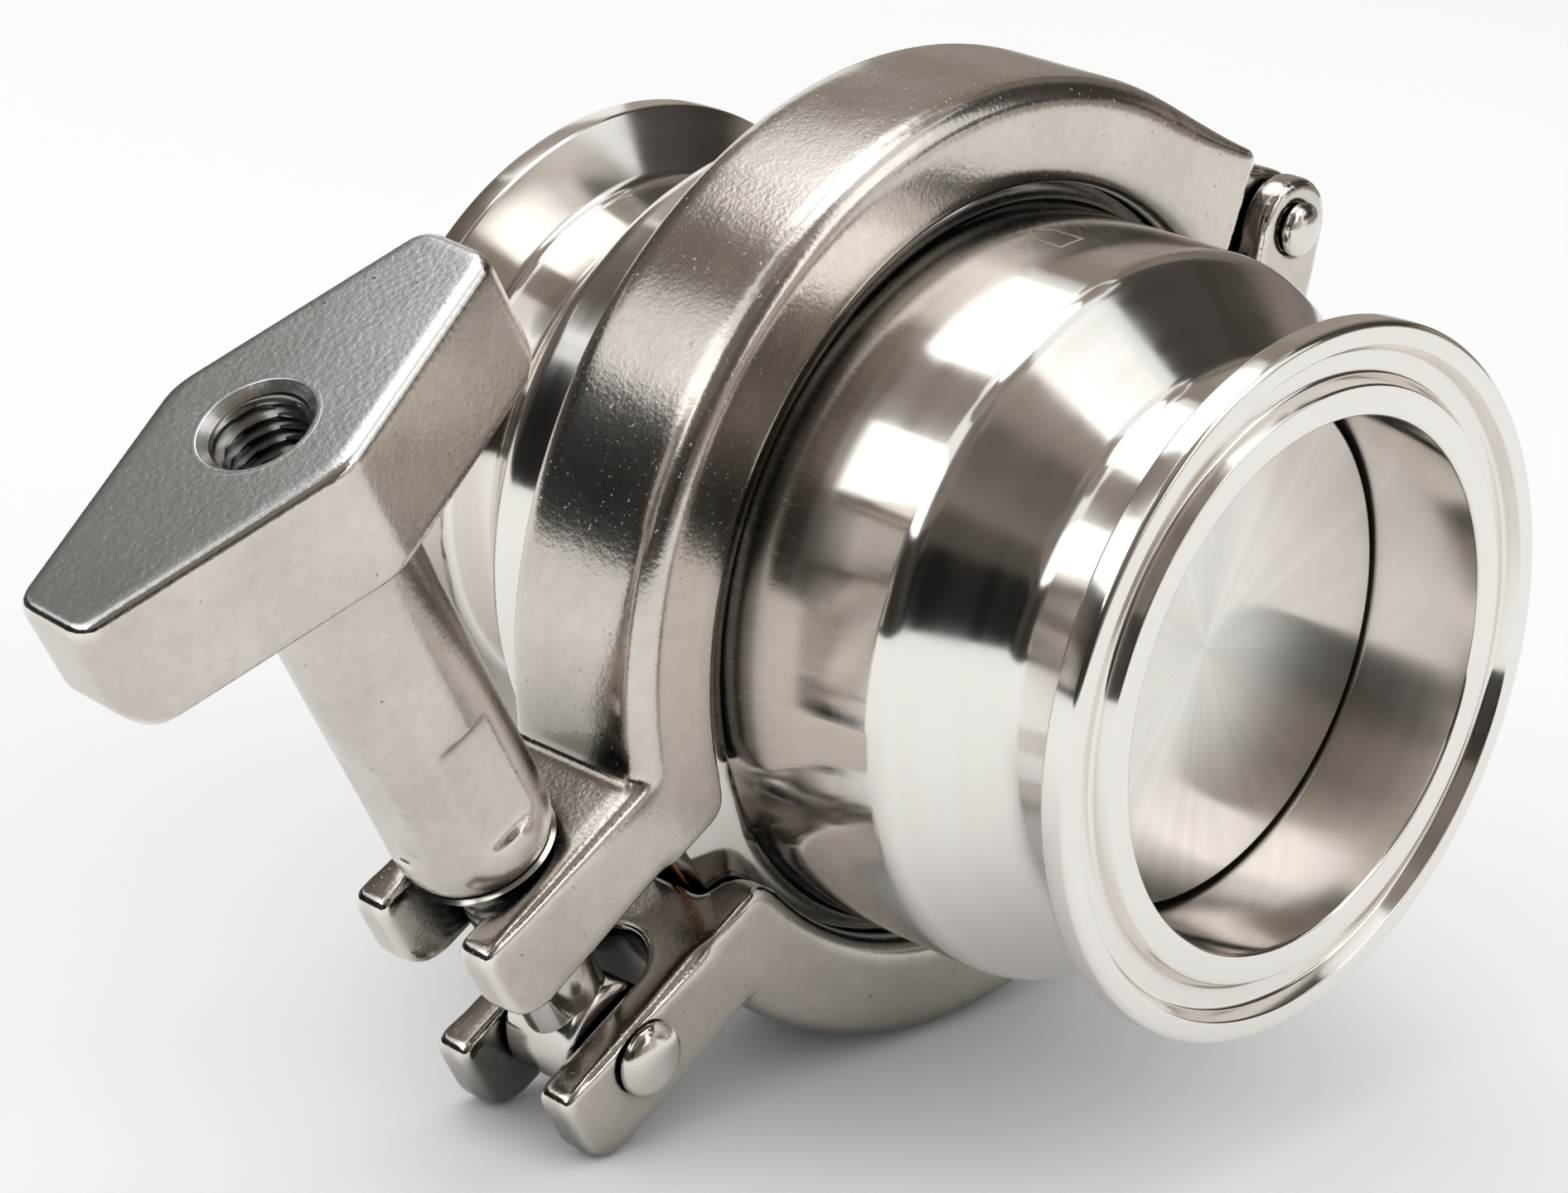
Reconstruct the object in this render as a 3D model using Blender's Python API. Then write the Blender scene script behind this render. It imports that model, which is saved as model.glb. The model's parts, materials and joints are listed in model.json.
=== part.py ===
"""Spring non-return valve for hygienic pipework, with its hinged clamp closed.

Two turned bodies meet in a pair of flanges. A two-part cast clamp with a hinge, a
swing bolt and a wing nut holds the flanges together. Inside, a conical disc is pushed
onto its seat by a coil spring and is guided by its stem.

The valve frame has +X along the flow, +Y towards the clamp's ears and +Z along the
closed swing bolt. An empty rolls that frame to the attitude in which the valve lies
on a table, on the clamp's band and the lower ear, with the table at Z = 0.
All lengths are in metres.
"""

from math import acos, asin, atan2, ceil, cos, hypot, pi, radians, sin, sqrt, tan

import bmesh
import bpy
from mathutils import Matrix, Vector
from mathutils.geometry import convex_hull_2d

# Fits
gap = 0.0003
flank_clearance = 0.0005
nose_clearance = 0.0004

# Pipe ends
face_to_face = 0.0850
bore_radius = 0.02375
neck_wall = 0.00165
ferrule_lip = 0.00655
ferrule_rim = 0.0026
ferrule_slope = radians(20.0)
neck_fillet = 0.0015
edge_break = 0.0004
port_groove_inset = 0.00375
groove_width = 0.0034
groove_depth = 0.0014
groove_floor_share = 0.6
neck_radius = bore_radius + neck_wall
ferrule_radius = neck_radius + ferrule_lip
port_groove_radius = ferrule_radius - port_groove_inset

# Valve chamber
shoulder_start = 0.0117
shoulder_fillet = 0.0025
seat_start = 0.0124
chamber_step = 0.00645
chamber_fillet = 0.0020
barrel_wall = 0.0030
barrel_fillet = 0.0030
joint_position = 0.0438
joint_thickness = 0.0016
bead_floor_share = 0.5
flange_lip = 0.0055
flange_rim = 0.0028
flange_groove_inset = 0.0039
chamber_radius = bore_radius + chamber_step
barrel_radius = chamber_radius + barrel_wall
flange_radius = barrel_radius + flange_lip
flange_groove_radius = flange_radius - flange_groove_inset

# Disc, seal, stem and spring
disc_nose = 0.0008
disc_edge_inset = 0.0024
disc_edge = 0.0012
disc_hub_radius = 0.0080
disc_hub_length = 0.0050
disc_back_fillet = 0.0010
seal_offset = 0.0024
seal_wire = 0.0030
stem_radius = 0.0040
stem_socket = 0.0030
stem_end_inset = 0.0120
stem_chamfer = 0.0009
spring_radius = 0.0105
spring_wire = 0.0016
spring_turns = 7
dead_pitch = 0.0020
disc_edge_radius = chamber_radius - disc_edge_inset
seal_position = seat_start + seal_offset
stem_end = face_to_face - stem_end_inset

# Guide in the outlet body
guide_rim = 0.0028
guide_rim_length = 0.0036
guide_cone = 0.0020
guide_hub_radius = 0.0083
guide_hub_lead = 0.0040
guide_hub_edge = 0.0008
arm_count = 3
arm_width = 0.0030
arm_depth = 0.0040
bush_wall = 0.0014
bush_flange = 0.0012

# Clamp halves, around the flanges that they grip
clamp_side = 0.0047
clamp_clearance = 0.0006
clamp_wall = 0.0054
clamp_edge = 0.0025
lip_grip = 0.0037
lip_edge = 0.0018
parting_gap = 0.0098
parting_fillet = 0.0030
parting_overlap = 0.0001
ear_thickness = 0.0096
ear_edge = 0.0012
ear_corner = 0.0014
ear_heel = 0.0042
clamp_half_width = joint_thickness / 2.0 + flange_rim + clamp_side
groove_bottom = flange_radius + clamp_clearance
clamp_radius = groove_bottom + clamp_wall
lip_radius = flange_radius - lip_grip
ear_top = parting_gap / 2.0 + ear_thickness

# Hinge of the clamp, just outside its ring
hinge_offset = 0.0028
knuckle_radius = 0.0047
lug_stand = 0.0009
lug_rise = 0.0110
lug_end_run = 0.0076
fork_inset = 0.0007
fork_cheek = 0.0031
hinge_pin_radius = 0.0020
hinge_head_radius = 0.0026
hinge_head_height = 0.0013
hinge_fork_half_width = clamp_half_width - fork_inset
tongue_half_width = hinge_fork_half_width - fork_cheek - gap
hinge_reach = clamp_radius + hinge_offset
lug_reach = clamp_radius + lug_stand
lug_foot = lug_reach - lug_end_run

# Swing bolt and its pivot pin, through the ears
bolt_offset = 0.0090
ear_overhang = 0.0093
pivot_depth = 0.0035
prong_thickness = 0.0038
shank_clearance = 0.00055
bolt_chamfer = 0.0010
eye_radius = 0.0052
eye_edge = 0.0006
pivot_pin_radius = 0.0022
pivot_head_radius = 0.0034
pivot_head_height = 0.0017
head_rim_share = 0.25
slot_half_width = clamp_half_width - prong_thickness
bolt_radius = slot_half_width - shank_clearance
eye_half_width = slot_half_width - gap
bolt_reach = clamp_radius + bolt_offset
ear_tip = bolt_reach + ear_overhang
pivot_drop = parting_gap / 2.0 + pivot_depth

# Wing nut and its cup washer, on the upper ear
boss_inset = 0.0012
boss_lift = 0.0049
nut_length = 0.0456
handle_depth = 0.0120
handle_half_length = 0.0228
handle_half_width = 0.0110
handle_tip_half_width = 0.0042
handle_edge = 0.0013
handle_corner = 0.0016
handle_underside = 0.0040
handle_turn = radians(3.0)
countersink_width = 0.00075
thread_left_over = 0.0110
washer_thickness = 0.0006
washer_spread = radians(60.0)
seat_stretch = 0.0020
boss_radius = clamp_half_width - boss_inset
nut_bore_radius = bolt_radius + gap
boss_centre = ear_top + boss_lift
nut_top = boss_centre + nut_length
bolt_end = nut_top - thread_left_over

# How far a cutter runs past what it cuts, and a piece into what it joins
cut_margin = 0.0060
root_depth = 0.0040

# Facets
body_segments = 36
clamp_segments = 48
disc_segments = 36
small_segments = 24
pin_segments = 16
coil_segments = 11
wire_segments = 5
fillet_step = radians(36.0)
smooth_limit = radians(38.0)

hole_radius = {"hinge": hinge_pin_radius + gap, "pivot": pivot_pin_radius + gap}


def clear_scene():
    for item in list(bpy.data.objects):
        bpy.data.objects.remove(item)


def make_material(name, colour, roughness, metallic):
    material = bpy.data.materials.new(name)
    material.use_nodes = True
    shader = material.node_tree.nodes["Principled BSDF"]
    shader.inputs["Base Color"].default_value = (*colour, 1.0)
    shader.inputs["Roughness"].default_value = roughness
    shader.inputs["Metallic"].default_value = metallic
    material.diffuse_color = (*colour, 1.0)
    return material


def make_empty(name, location, parent=None):
    empty = bpy.data.objects.new(name, None)
    empty.empty_display_size = 0.02
    empty.location = location
    empty.parent = parent
    bpy.context.collection.objects.link(empty)
    return empty


def shade(mesh):
    mesh.shade_smooth()
    mesh.set_sharp_from_angle(angle=smooth_limit)


def make_object(name, bm, parent=None, location=(0.0, 0.0, 0.0), material=None):
    """Turn a bmesh in the valve frame into an object whose origin is at location."""
    bmesh.ops.translate(bm, verts=bm.verts, vec=-Vector(location))
    bmesh.ops.recalc_face_normals(bm, faces=bm.faces)
    mesh = bpy.data.meshes.new(name)
    bm.to_mesh(mesh)
    bm.free()
    shade(mesh)
    item = bpy.data.objects.new(name, mesh)
    item.location = location
    item.parent = parent
    if material:
        mesh.materials.append(material)
    bpy.context.collection.objects.link(item)
    return item


def combine(item, steps):
    """Apply unions and cuts to an object. Steps are pairs of an operation and a bmesh."""
    tools = []
    for operation, bm in steps:
        tool = make_object(item.name + "_tool", bm)
        tool.parent = item.parent
        tool.hide_render = True
        tool.display_type = "WIRE"
        modifier = item.modifiers.new(operation.lower(), "BOOLEAN")
        modifier.operation = operation
        modifier.solver = "EXACT"
        modifier.object = tool
        tools.append(tool)
    depsgraph = bpy.context.evaluated_depsgraph_get()
    result = bpy.data.meshes.new_from_object(item.evaluated_get(depsgraph))
    item.modifiers.clear()
    item.data = result
    for tool in tools:
        bpy.data.objects.remove(tool)
    shade(result)
    return item


def arc(centre, radius, start, end, steps):
    """Points on an arc in a plane, from the start angle to the end angle."""
    points = []
    for step in range(steps + 1):
        angle = start + (end - start) * step / steps
        points.append((centre[0] + radius * cos(angle), centre[1] + radius * sin(angle)))
    return points


def rounded(corners):
    """Outline through corners (a, b) or (a, b, fillet radius), closed on itself."""
    points = []
    count = len(corners)
    for index, corner in enumerate(corners):
        here = Vector(corner[:2])
        if len(corner) == 2:
            points.append(tuple(here))
            continue
        before = (Vector(corners[index - 1][:2]) - here).normalized()
        after = (Vector(corners[(index + 1) % count][:2]) - here).normalized()
        inner = acos(max(-1.0, min(1.0, before.dot(after))))
        turn = pi - inner
        reach = corner[2] / tan(inner / 2.0)
        centre = here + (before + after).normalized() * corner[2] / sin(inner / 2.0)
        first = here + before * reach - centre
        last = here + after * reach - centre
        steps = 1 if corner[2] < 0.001 else ceil(turn / fillet_step)
        start = atan2(first.y, first.x)
        sweep = atan2(first.x * last.y - first.y * last.x, first.dot(last))
        points += arc(centre, corner[2], start, start + sweep, steps)
    return points


def join_rings(bm, rings, closed):
    """Faces between neighbouring rings of vertices. A ring of one vertex is a pole."""
    for index in range(len(rings) if closed else len(rings) - 1):
        here, there = rings[index], rings[(index + 1) % len(rings)]
        count = max(len(here), len(there))
        if count == 1:
            continue
        for step in range(count):
            corners = [
                here[step % len(here)],
                here[(step + 1) % len(here)],
                there[(step + 1) % len(there)],
                there[step % len(there)],
            ]
            bm.faces.new(list(dict.fromkeys(corners)))


def turned(outline, segments, axis="X", centre=(0.0, 0.0, 0.0)):
    """Turn a closed outline of (along, radius) points about an axis through centre."""
    bm = bmesh.new()
    rings = []
    for along, radius in outline:
        if radius < 1e-7:
            rings.append([bm.verts.new((along, 0.0, 0.0))])
            continue
        ring = []
        for step in range(segments):
            angle = 2.0 * pi * step / segments
            ring.append(bm.verts.new((along, radius * cos(angle), radius * sin(angle))))
        rings.append(ring)
    join_rings(bm, rings, closed=True)
    if axis == "Z":
        bmesh.ops.rotate(bm, verts=bm.verts, matrix=Matrix.Rotation(-pi / 2.0, 3, "Y"))
    bmesh.ops.translate(bm, verts=bm.verts, vec=centre)
    return bm


def prism(outline, low, high):
    """Extrude a closed outline of (Y, Z) points from X = low to X = high."""
    bm = bmesh.new()
    ends = []
    for x in (low, high):
        ends.append([bm.verts.new((x, y, z)) for y, z in outline])
        bm.faces.new(ends[-1])
    join_rings(bm, ends, closed=False)
    return bm


def block(low, high):
    """Box between two opposite corners."""
    bm = bmesh.new()
    bmesh.ops.create_cube(bm, size=1.0)
    size = [high[i] - low[i] for i in range(3)]
    middle = [(high[i] + low[i]) / 2.0 for i in range(3)]
    bmesh.ops.scale(bm, verts=bm.verts, vec=size)
    bmesh.ops.translate(bm, verts=bm.verts, vec=middle)
    return bm


def soften(bm, wanted, width, segments=3):
    """Round the edges whose two ends pass the test wanted(start, end)."""
    edges = [edge for edge in bm.edges if wanted(edge.verts[0].co, edge.verts[1].co)]
    bmesh.ops.bevel(
        bm, geom=edges, offset=width, segments=segments, profile=0.5, affect="EDGES"
    )


def slot(outline, centre, straight):
    """Cutter about a Z axis through centre, stretched by a straight length along +Y.

    The outline holds (radius, Z) points and starts and ends on the axis.
    """
    bm = bmesh.new()
    steps = small_segments // 2
    stations = [(pi * step / steps, 0.0) for step in range(steps + 1)]
    stations += [(pi + pi * step / steps, straight) for step in range(steps + 1)]
    rings = []
    for angle, run in stations:
        ring = []
        for radius, z in outline:
            x = centre[0] + radius * cos(angle)
            y = centre[1] - radius * sin(angle) + run
            ring.append(bm.verts.new((x, y, z)))
        rings.append(ring)
    for here, there in zip(rings, rings[1:] + rings[:1]):
        for index in range(len(outline) - 1):
            bm.faces.new((here[index], here[index + 1], there[index + 1], there[index]))
    bmesh.ops.remove_doubles(bm, verts=bm.verts, dist=1e-6)
    bmesh.ops.dissolve_degenerate(bm, edges=bm.edges, dist=1e-6)
    return bm


def groove(position, radius, inward):
    """Gasket groove in an end face. Inward is the direction along X into the body."""
    half = groove_width / 2.0
    return [
        (position, radius - half),
        (position + inward * groove_depth, radius - half * groove_floor_share),
        (position + inward * groove_depth, radius + half * groove_floor_share),
        (position, radius + half),
    ]


def body_outline(length):
    """Section of one body, from its pipe end at X = 0 to its flange face at length."""
    neck_start = ferrule_rim + (ferrule_radius - neck_radius) * tan(ferrule_slope)
    rim_start = length - flange_rim
    root = rim_start - (flange_radius - barrel_radius) * tan(ferrule_slope)
    corners = [(0.0, bore_radius)]
    corners += groove(0.0, port_groove_radius, 1.0)
    corners += [
        (0.0, ferrule_radius, edge_break),
        (ferrule_rim, ferrule_radius),
        (neck_start, neck_radius, neck_fillet),
        (shoulder_start, neck_radius, shoulder_fillet),
        (shoulder_start + barrel_radius - neck_radius, barrel_radius, barrel_fillet),
        (root, barrel_radius, neck_fillet),
        (rim_start, flange_radius),
        (length, flange_radius, edge_break),
    ]
    corners += reversed(groove(length, flange_groove_radius, -1.0))
    corners += [
        (length, chamber_radius),
        (seat_start + chamber_radius - bore_radius, chamber_radius, chamber_fillet),
        (seat_start, bore_radius),
    ]
    return rounded(corners)


def build_bodies(frame, steel):
    inlet_length = joint_position - joint_thickness / 2.0
    outlet_length = face_to_face - joint_position - joint_thickness / 2.0
    outline = body_outline(inlet_length)
    make_object("inlet_body", turned(outline, body_segments), frame, material=steel)
    outline = [(face_to_face - x, radius) for x, radius in body_outline(outlet_length)]
    make_object("outlet_body", turned(outline, body_segments), frame, material=steel)


def build_gasket(frame, rubber):
    """Flat ring between the flanges, with a bead on each side for their grooves."""
    half = joint_thickness / 2.0 - gap
    bead = groove_depth - gap
    narrow = groove_width / 2.0 - 2.0 * gap
    radius = flange_groove_radius
    side = [
        (half, flange_radius - gap),
        (half, radius + narrow),
        (half + bead, radius + narrow * bead_floor_share),
        (half + bead, radius - narrow * bead_floor_share),
        (half, radius - narrow),
        (half, chamber_radius + gap),
    ]
    outline = [(joint_position + x, r) for x, r in side]
    outline += [(joint_position - x, r) for x, r in reversed(side)]
    make_object("body_gasket", turned(outline, body_segments), frame, material=rubber)


def seat_offset():
    """Difference between radius and X on the inlet's 45 degree seat."""
    return bore_radius - seat_start


def disc_sizes():
    """Named stations of the disc, worked out from the seat that it closes."""
    flank = seat_offset() - flank_clearance * sqrt(2.0)
    edge_start = disc_edge_radius - flank
    return {
        "face": seat_start - disc_nose,
        "nose": bore_radius - nose_clearance,
        "flank": flank,
        "edge_start": edge_start,
        "back": edge_start + disc_edge,
    }


def seal_centre():
    """Centre of the seal's wire, set back from the seat along the seat's normal."""
    back = (seal_wire / 2.0 + gap) / sqrt(2.0)
    return seal_position + back, seal_position + seat_offset() - back


def build_disc(frame, steel, rubber):
    """Poppet disc with a conical flank and a retaining groove for its seal ring."""
    d = disc_sizes()
    centre = seal_centre()
    groove_radius = seal_wire / 2.0 + gap
    opening = acos((groove_radius - flank_clearance) / groove_radius)
    start = radians(135.0) + opening
    recess = arc(centre, groove_radius, start, start + 2.0 * (pi - opening), 6)
    socket = stem_radius + gap
    outline = rounded(
        [
            (d["face"], 0.0),
            (d["face"], d["nose"], edge_break),
            (d["nose"] - d["flank"], d["nose"]),
        ]
        + recess
        + [
            (d["edge_start"], disc_edge_radius),
            (d["back"], disc_edge_radius, edge_break),
            (d["back"], disc_hub_radius, disc_back_fillet),
            (d["back"] + disc_hub_length, disc_hub_radius, edge_break),
            (d["back"] + disc_hub_length, socket),
            (d["back"] - stem_socket, socket),
            (d["back"] - stem_socket, 0.0),
        ]
    )
    slide = make_empty("poppet_slide", (d["face"], 0.0, 0.0), frame)
    disc = turned([(x - d["face"], r) for x, r in outline], disc_segments)
    make_object("poppet_disc", disc, slide, material=steel)
    wire = arc((centre[0] - d["face"], centre[1]), seal_wire / 2.0, 0.0, 2.0 * pi, 7)[:-1]
    make_object("poppet_seal", turned(wire, disc_segments), slide, material=rubber)
    stem = [
        (d["back"] - stem_socket + gap, 0.0),
        (d["back"] - stem_socket + gap, stem_radius, edge_break),
        (stem_end, stem_radius, stem_chamfer),
        (stem_end, 0.0),
    ]
    outline = [(x - d["face"], r) for x, r in rounded(stem)]
    make_object("poppet_stem", turned(outline, small_segments), slide, material=steel)


def guide_stations():
    """X of the guide rim's front face, of its seating corner and of its arms."""
    rim_radius = chamber_radius - gap
    cone = face_to_face + seat_offset() - gap * sqrt(2.0)
    corner = cone - rim_radius
    return corner - guide_rim_length, corner, corner - guide_rim_length


def build_guide(frame, steel, plastic):
    """Spider that rests on the outlet body's inner cone, with the stem's bush."""
    front, corner, arm_front = guide_stations()
    rim_radius = chamber_radius - gap
    inner = rim_radius - guide_rim
    rim = [
        (front, inner),
        (front, rim_radius),
        (corner, rim_radius),
        (corner + guide_cone, rim_radius - guide_cone),
        (corner + guide_cone, inner),
    ]
    hub_bore = stem_radius + bush_wall + 2.0 * gap
    hub_front = arm_front - guide_hub_lead
    hub_back = corner + guide_cone
    hub = rounded(
        [
            (hub_front, hub_bore),
            (hub_front, guide_hub_radius, guide_hub_edge),
            (hub_back, guide_hub_radius, guide_hub_edge),
            (hub_back, hub_bore),
        ]
    )
    arms = []
    for index in range(arm_count):
        reach = (guide_hub_radius + hub_bore) / 2.0, rim_radius - guide_rim / 2.0
        half = arm_width / 2.0
        arm = block((arm_front, reach[0], -half), (arm_front + arm_depth, reach[1], half))
        turn = Matrix.Rotation(2.0 * pi * index / arm_count + pi / 2.0, 3, "X")
        bmesh.ops.rotate(arm, verts=arm.verts, matrix=turn)
        arms.append(("UNION", arm))
    spider = make_object("guide_spider", turned(rim, body_segments), frame, material=steel)
    combine(spider, arms + [("UNION", turned(hub, small_segments))])
    bore = stem_radius + gap
    wall = bore + bush_wall
    bush = [
        (hub_front - gap - bush_flange, bore),
        (hub_front - gap - bush_flange, guide_hub_radius - guide_hub_edge),
        (hub_front - gap, guide_hub_radius - guide_hub_edge),
        (hub_front - gap, wall),
        (hub_back + gap, wall),
        (hub_back + gap, bore),
    ]
    make_object("guide_bush", turned(bush, small_segments), frame, material=plastic)


def build_spring(frame, steel):
    """Helical spring between the disc's back and the guide's arms, with dead end coils."""
    start = disc_sizes()["back"] + gap + spring_wire / 2.0
    end = guide_stations()[2] - gap - spring_wire / 2.0
    live = (end - start - 2.0 * dead_pitch) / (spring_turns - 2)
    steps, sides = coil_segments * spring_turns, wire_segments
    bm = bmesh.new()
    rings = []
    along = start
    for step in range(steps + 1):
        turn = spring_turns * step / steps
        pitch = live if 1.0 <= turn < spring_turns - 1.0 else dead_pitch
        angle = 2.0 * pi * turn
        radial = Vector((0.0, cos(angle), sin(angle)))
        forward = Vector((0.0, -sin(angle), cos(angle))) * spring_radius
        tangent = (forward + Vector((pitch / (2.0 * pi), 0.0, 0.0))).normalized()
        across = tangent.cross(radial)
        centre = Vector((along, 0.0, 0.0)) + radial * spring_radius
        ring = []
        for side in range(sides):
            around = 2.0 * pi * side / sides
            offset = radial * cos(around) + across * sin(around)
            ring.append(bm.verts.new(centre + offset * spring_wire / 2.0))
        rings.append(ring)
        along += pitch * spring_turns / steps
    join_rings(bm, rings, closed=False)
    bm.faces.new(rings[0])
    bm.faces.new(rings[-1])
    make_object("spring", bm, frame, material=steel)


def clamp_ring():
    """Solid ring with the clamp's outer shape, before its groove is cut."""
    inside = lip_radius - root_depth
    outline = rounded(
        [
            (-clamp_half_width, inside),
            (-clamp_half_width, clamp_radius, clamp_edge),
            (clamp_half_width, clamp_radius, clamp_edge),
            (clamp_half_width, inside),
        ]
    )
    return turned([(joint_position + x, r) for x, r in outline], clamp_segments)


def clamp_core():
    """Cutter for the V groove that grips the flanges, and for the lips' round edges."""
    def wall(radius):
        rim = joint_thickness / 2.0 + flange_rim + gap / cos(ferrule_slope)
        return rim + (flange_radius - radius) * tan(ferrule_slope)

    side = [(wall(groove_bottom), groove_bottom), (wall(lip_radius), lip_radius)]
    centre = (clamp_half_width - lip_edge, lip_radius + lip_edge)
    side += arc(centre, lip_edge, -pi / 2.0, 0.0, 3)
    outside = clamp_half_width + cut_margin
    side += [(outside, lip_radius + lip_edge), (outside, 0.0)]
    outline = [(joint_position + x, r) for x, r in side]
    outline += [(joint_position - x, r) for x, r in reversed(side)]
    return turned(outline, clamp_segments)


def cast_block(outline, smooth_from):
    """Prism across the clamp's width whose end edges outside a radius are rounded."""
    low = joint_position - clamp_half_width
    high = joint_position + clamp_half_width
    bm = prism(outline, low, high)

    def on_end(start, end):
        flat = abs(start.x - end.x) < 1e-6
        return flat and max(hypot(start.y, start.z), hypot(end.y, end.z)) > smooth_from

    soften(bm, on_end, ear_edge, 2)
    return bm


def ear_block(side):
    """Ear before its slot is cut, on the side +1 of the upper or -1 of the lower half."""
    low, high = sorted((side * parting_gap / 2.0, side * ear_top))
    root = flange_radius - ear_edge
    outline = rounded(
        [(root, low), (ear_tip, low, ear_heel), (ear_tip, high, ear_corner), (root, high)]
    )
    return cast_block(outline, hypot(root, ear_top) + ear_edge)


def lug_points(side):
    """Outer corner and foot of the lug's end face, which faces the hinge."""
    corner = (-lug_reach, side * lug_rise)
    foot = (-lug_foot, side * parting_gap / 2.0)
    return corner, foot


def hinge_lug(side):
    """Lug over the clamp's full width that leaves the ring along a tangent."""
    corner, foot = lug_points(side)
    far = hypot(*corner)
    angle = atan2(corner[1], -corner[0]) + side * acos(clamp_radius / far)
    tangent = (-clamp_radius * cos(angle), clamp_radius * sin(angle))
    inner = [value * (clamp_radius - clamp_edge) / clamp_radius for value in tangent]
    outline = rounded([tangent, (*corner, ear_corner), foot, inner])
    return cast_block(outline, clamp_radius - ear_edge)


def hinge_strap(side, low, high):
    """Knuckle about the hinge axis, with the strap that carries it to its lug."""
    points = arc((-hinge_reach, 0.0), knuckle_radius, 0.0, 2.0 * pi, 20)[:-1]
    corner, foot = lug_points(side)
    inset = ear_corner / hypot(*corner)
    points.append((corner[0] * (1.0 - inset), corner[1] * (1.0 - inset)))
    points.append(foot)
    points.append((foot[0] + root_depth / 2.0, foot[1] + side * root_depth / 2.0))
    hull = [points[index] for index in convex_hull_2d([Vector(p) for p in points])]
    return prism(hull, joint_position + low, joint_position + high)


def parting_cut(side):
    """Cutter for all that is beyond a half's parting face and its lug's end face."""
    across = clamp_radius + cut_margin
    corner, foot = lug_points(side)
    slope = (corner[1] - foot[1]) / (corner[0] - foot[0])
    outline = [
        (across, foot[1]),
        foot,
        (-across, foot[1] + slope * (-across - foot[0])),
        (-across, -side * across),
        (across, -side * across),
    ]
    width = clamp_half_width + cut_margin
    return prism(outline, joint_position - width, joint_position + width)


def parting_fillet_cut(side):
    """Cutter that rounds the inner edge where the ear's parting face meets the lips."""
    level = parting_gap / 2.0
    inner = sqrt(lip_radius**2 - level**2)
    rise = level + parting_fillet - parting_overlap
    outline = arc((inner + parting_fillet, rise), parting_fillet, -pi / 2.0, -pi, 4)
    outline += [(inner - root_depth, rise), (inner - root_depth, 0.0), (outline[0][0], 0.0)]
    width = clamp_half_width + cut_margin
    outline = [(y, side * z) for y, z in outline]
    return prism(outline, joint_position - width, joint_position + width)


def cylinder_along_x(radius, half_length, y, z, segments=pin_segments):
    outline = [(-half_length, 0.0), (-half_length, radius), (half_length, radius), (half_length, 0.0)]
    return turned(outline, segments, centre=(joint_position, y, z))


def bolt_slot(centre_y):
    """Cutter for the slot that the swing bolt leaves through, open at the ear's tip."""
    reach = ear_top + cut_margin
    outline = [(0.0, -reach), (slot_half_width, -reach), (slot_half_width, reach), (0.0, reach)]
    return slot(outline, (joint_position, centre_y), ear_tip - centre_y)


def nut_seat():
    """Cutter for the dish in which the cup washer sits, a little longer than round."""
    radius = boss_radius + washer_thickness + 2.0 * gap
    outline = arc((0.0, boss_centre), radius, -pi / 2.0, 0.0, 7)
    outline[0] = (0.0, boss_centre - radius)
    outline.append((0.0, boss_centre))
    return slot(outline, (joint_position, bolt_reach), seat_stretch)


def build_clamp(frame, cast):
    """Two halves, each with a forked ear, joined by a tongue in a fork at the hinge."""
    width = clamp_half_width + cut_margin
    fork_inner = tongue_half_width + gap
    fork_outer = hinge_fork_half_width
    hinge_place = (joint_position, -hinge_reach, 0.0)
    hinge_hole = cylinder_along_x(hole_radius["hinge"], width, -hinge_reach, 0.0)
    pivot_hole = cylinder_along_x(hole_radius["pivot"], width, bolt_reach, -pivot_drop)

    upper = make_object("clamp_upper_half", clamp_ring(), frame, hinge_place, cast)
    combine(
        upper,
        [
            ("DIFFERENCE", parting_cut(1.0)),
            ("UNION", ear_block(1.0)),
            ("UNION", hinge_lug(1.0)),
            ("UNION", hinge_strap(1.0, -tongue_half_width, tongue_half_width)),
            ("DIFFERENCE", clamp_core()),
            ("DIFFERENCE", parting_fillet_cut(1.0)),
            ("DIFFERENCE", bolt_slot(bolt_reach)),
            ("DIFFERENCE", nut_seat()),
            ("DIFFERENCE", hinge_hole.copy()),
        ],
    )

    lower = make_object("clamp_lower_half", clamp_ring(), frame, hinge_place, cast)
    square = sqrt(slot_half_width**2 - eye_half_width**2)
    root = bolt_reach - eye_radius + square - 2.0 * gap
    combine(
        lower,
        [
            ("DIFFERENCE", parting_cut(-1.0)),
            ("UNION", ear_block(-1.0)),
            ("UNION", hinge_lug(-1.0)),
            ("UNION", hinge_strap(-1.0, -fork_outer, -fork_inner)),
            ("UNION", hinge_strap(-1.0, fork_inner, fork_outer)),
            ("DIFFERENCE", clamp_core()),
            ("DIFFERENCE", parting_fillet_cut(-1.0)),
            ("DIFFERENCE", bolt_slot(root)),
            ("DIFFERENCE", hinge_hole),
            ("DIFFERENCE", pivot_hole),
        ],
    )


def build_pin(name, radius, half_grip, head_radius, head_height, place, frame, steel):
    """Rivet-like pin along X, with a domed head at both ends."""
    face = half_grip + gap
    dome = []
    for step in range(4):
        angle = pi / 2.0 * step / 3
        rise = head_rim_share + (1.0 - head_rim_share) * sin(angle)
        dome.append((face + head_height * rise, head_radius * cos(angle)))
    side = [(face, radius), (face, head_radius)] + dome[:-1] + [(dome[-1][0], 0.0)]
    outline = side + [(-x, r) for x, r in reversed(side)]
    bm = turned(outline, pin_segments, centre=(joint_position, *place))
    make_object(name, bm, frame, (joint_position, *place), steel)


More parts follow.
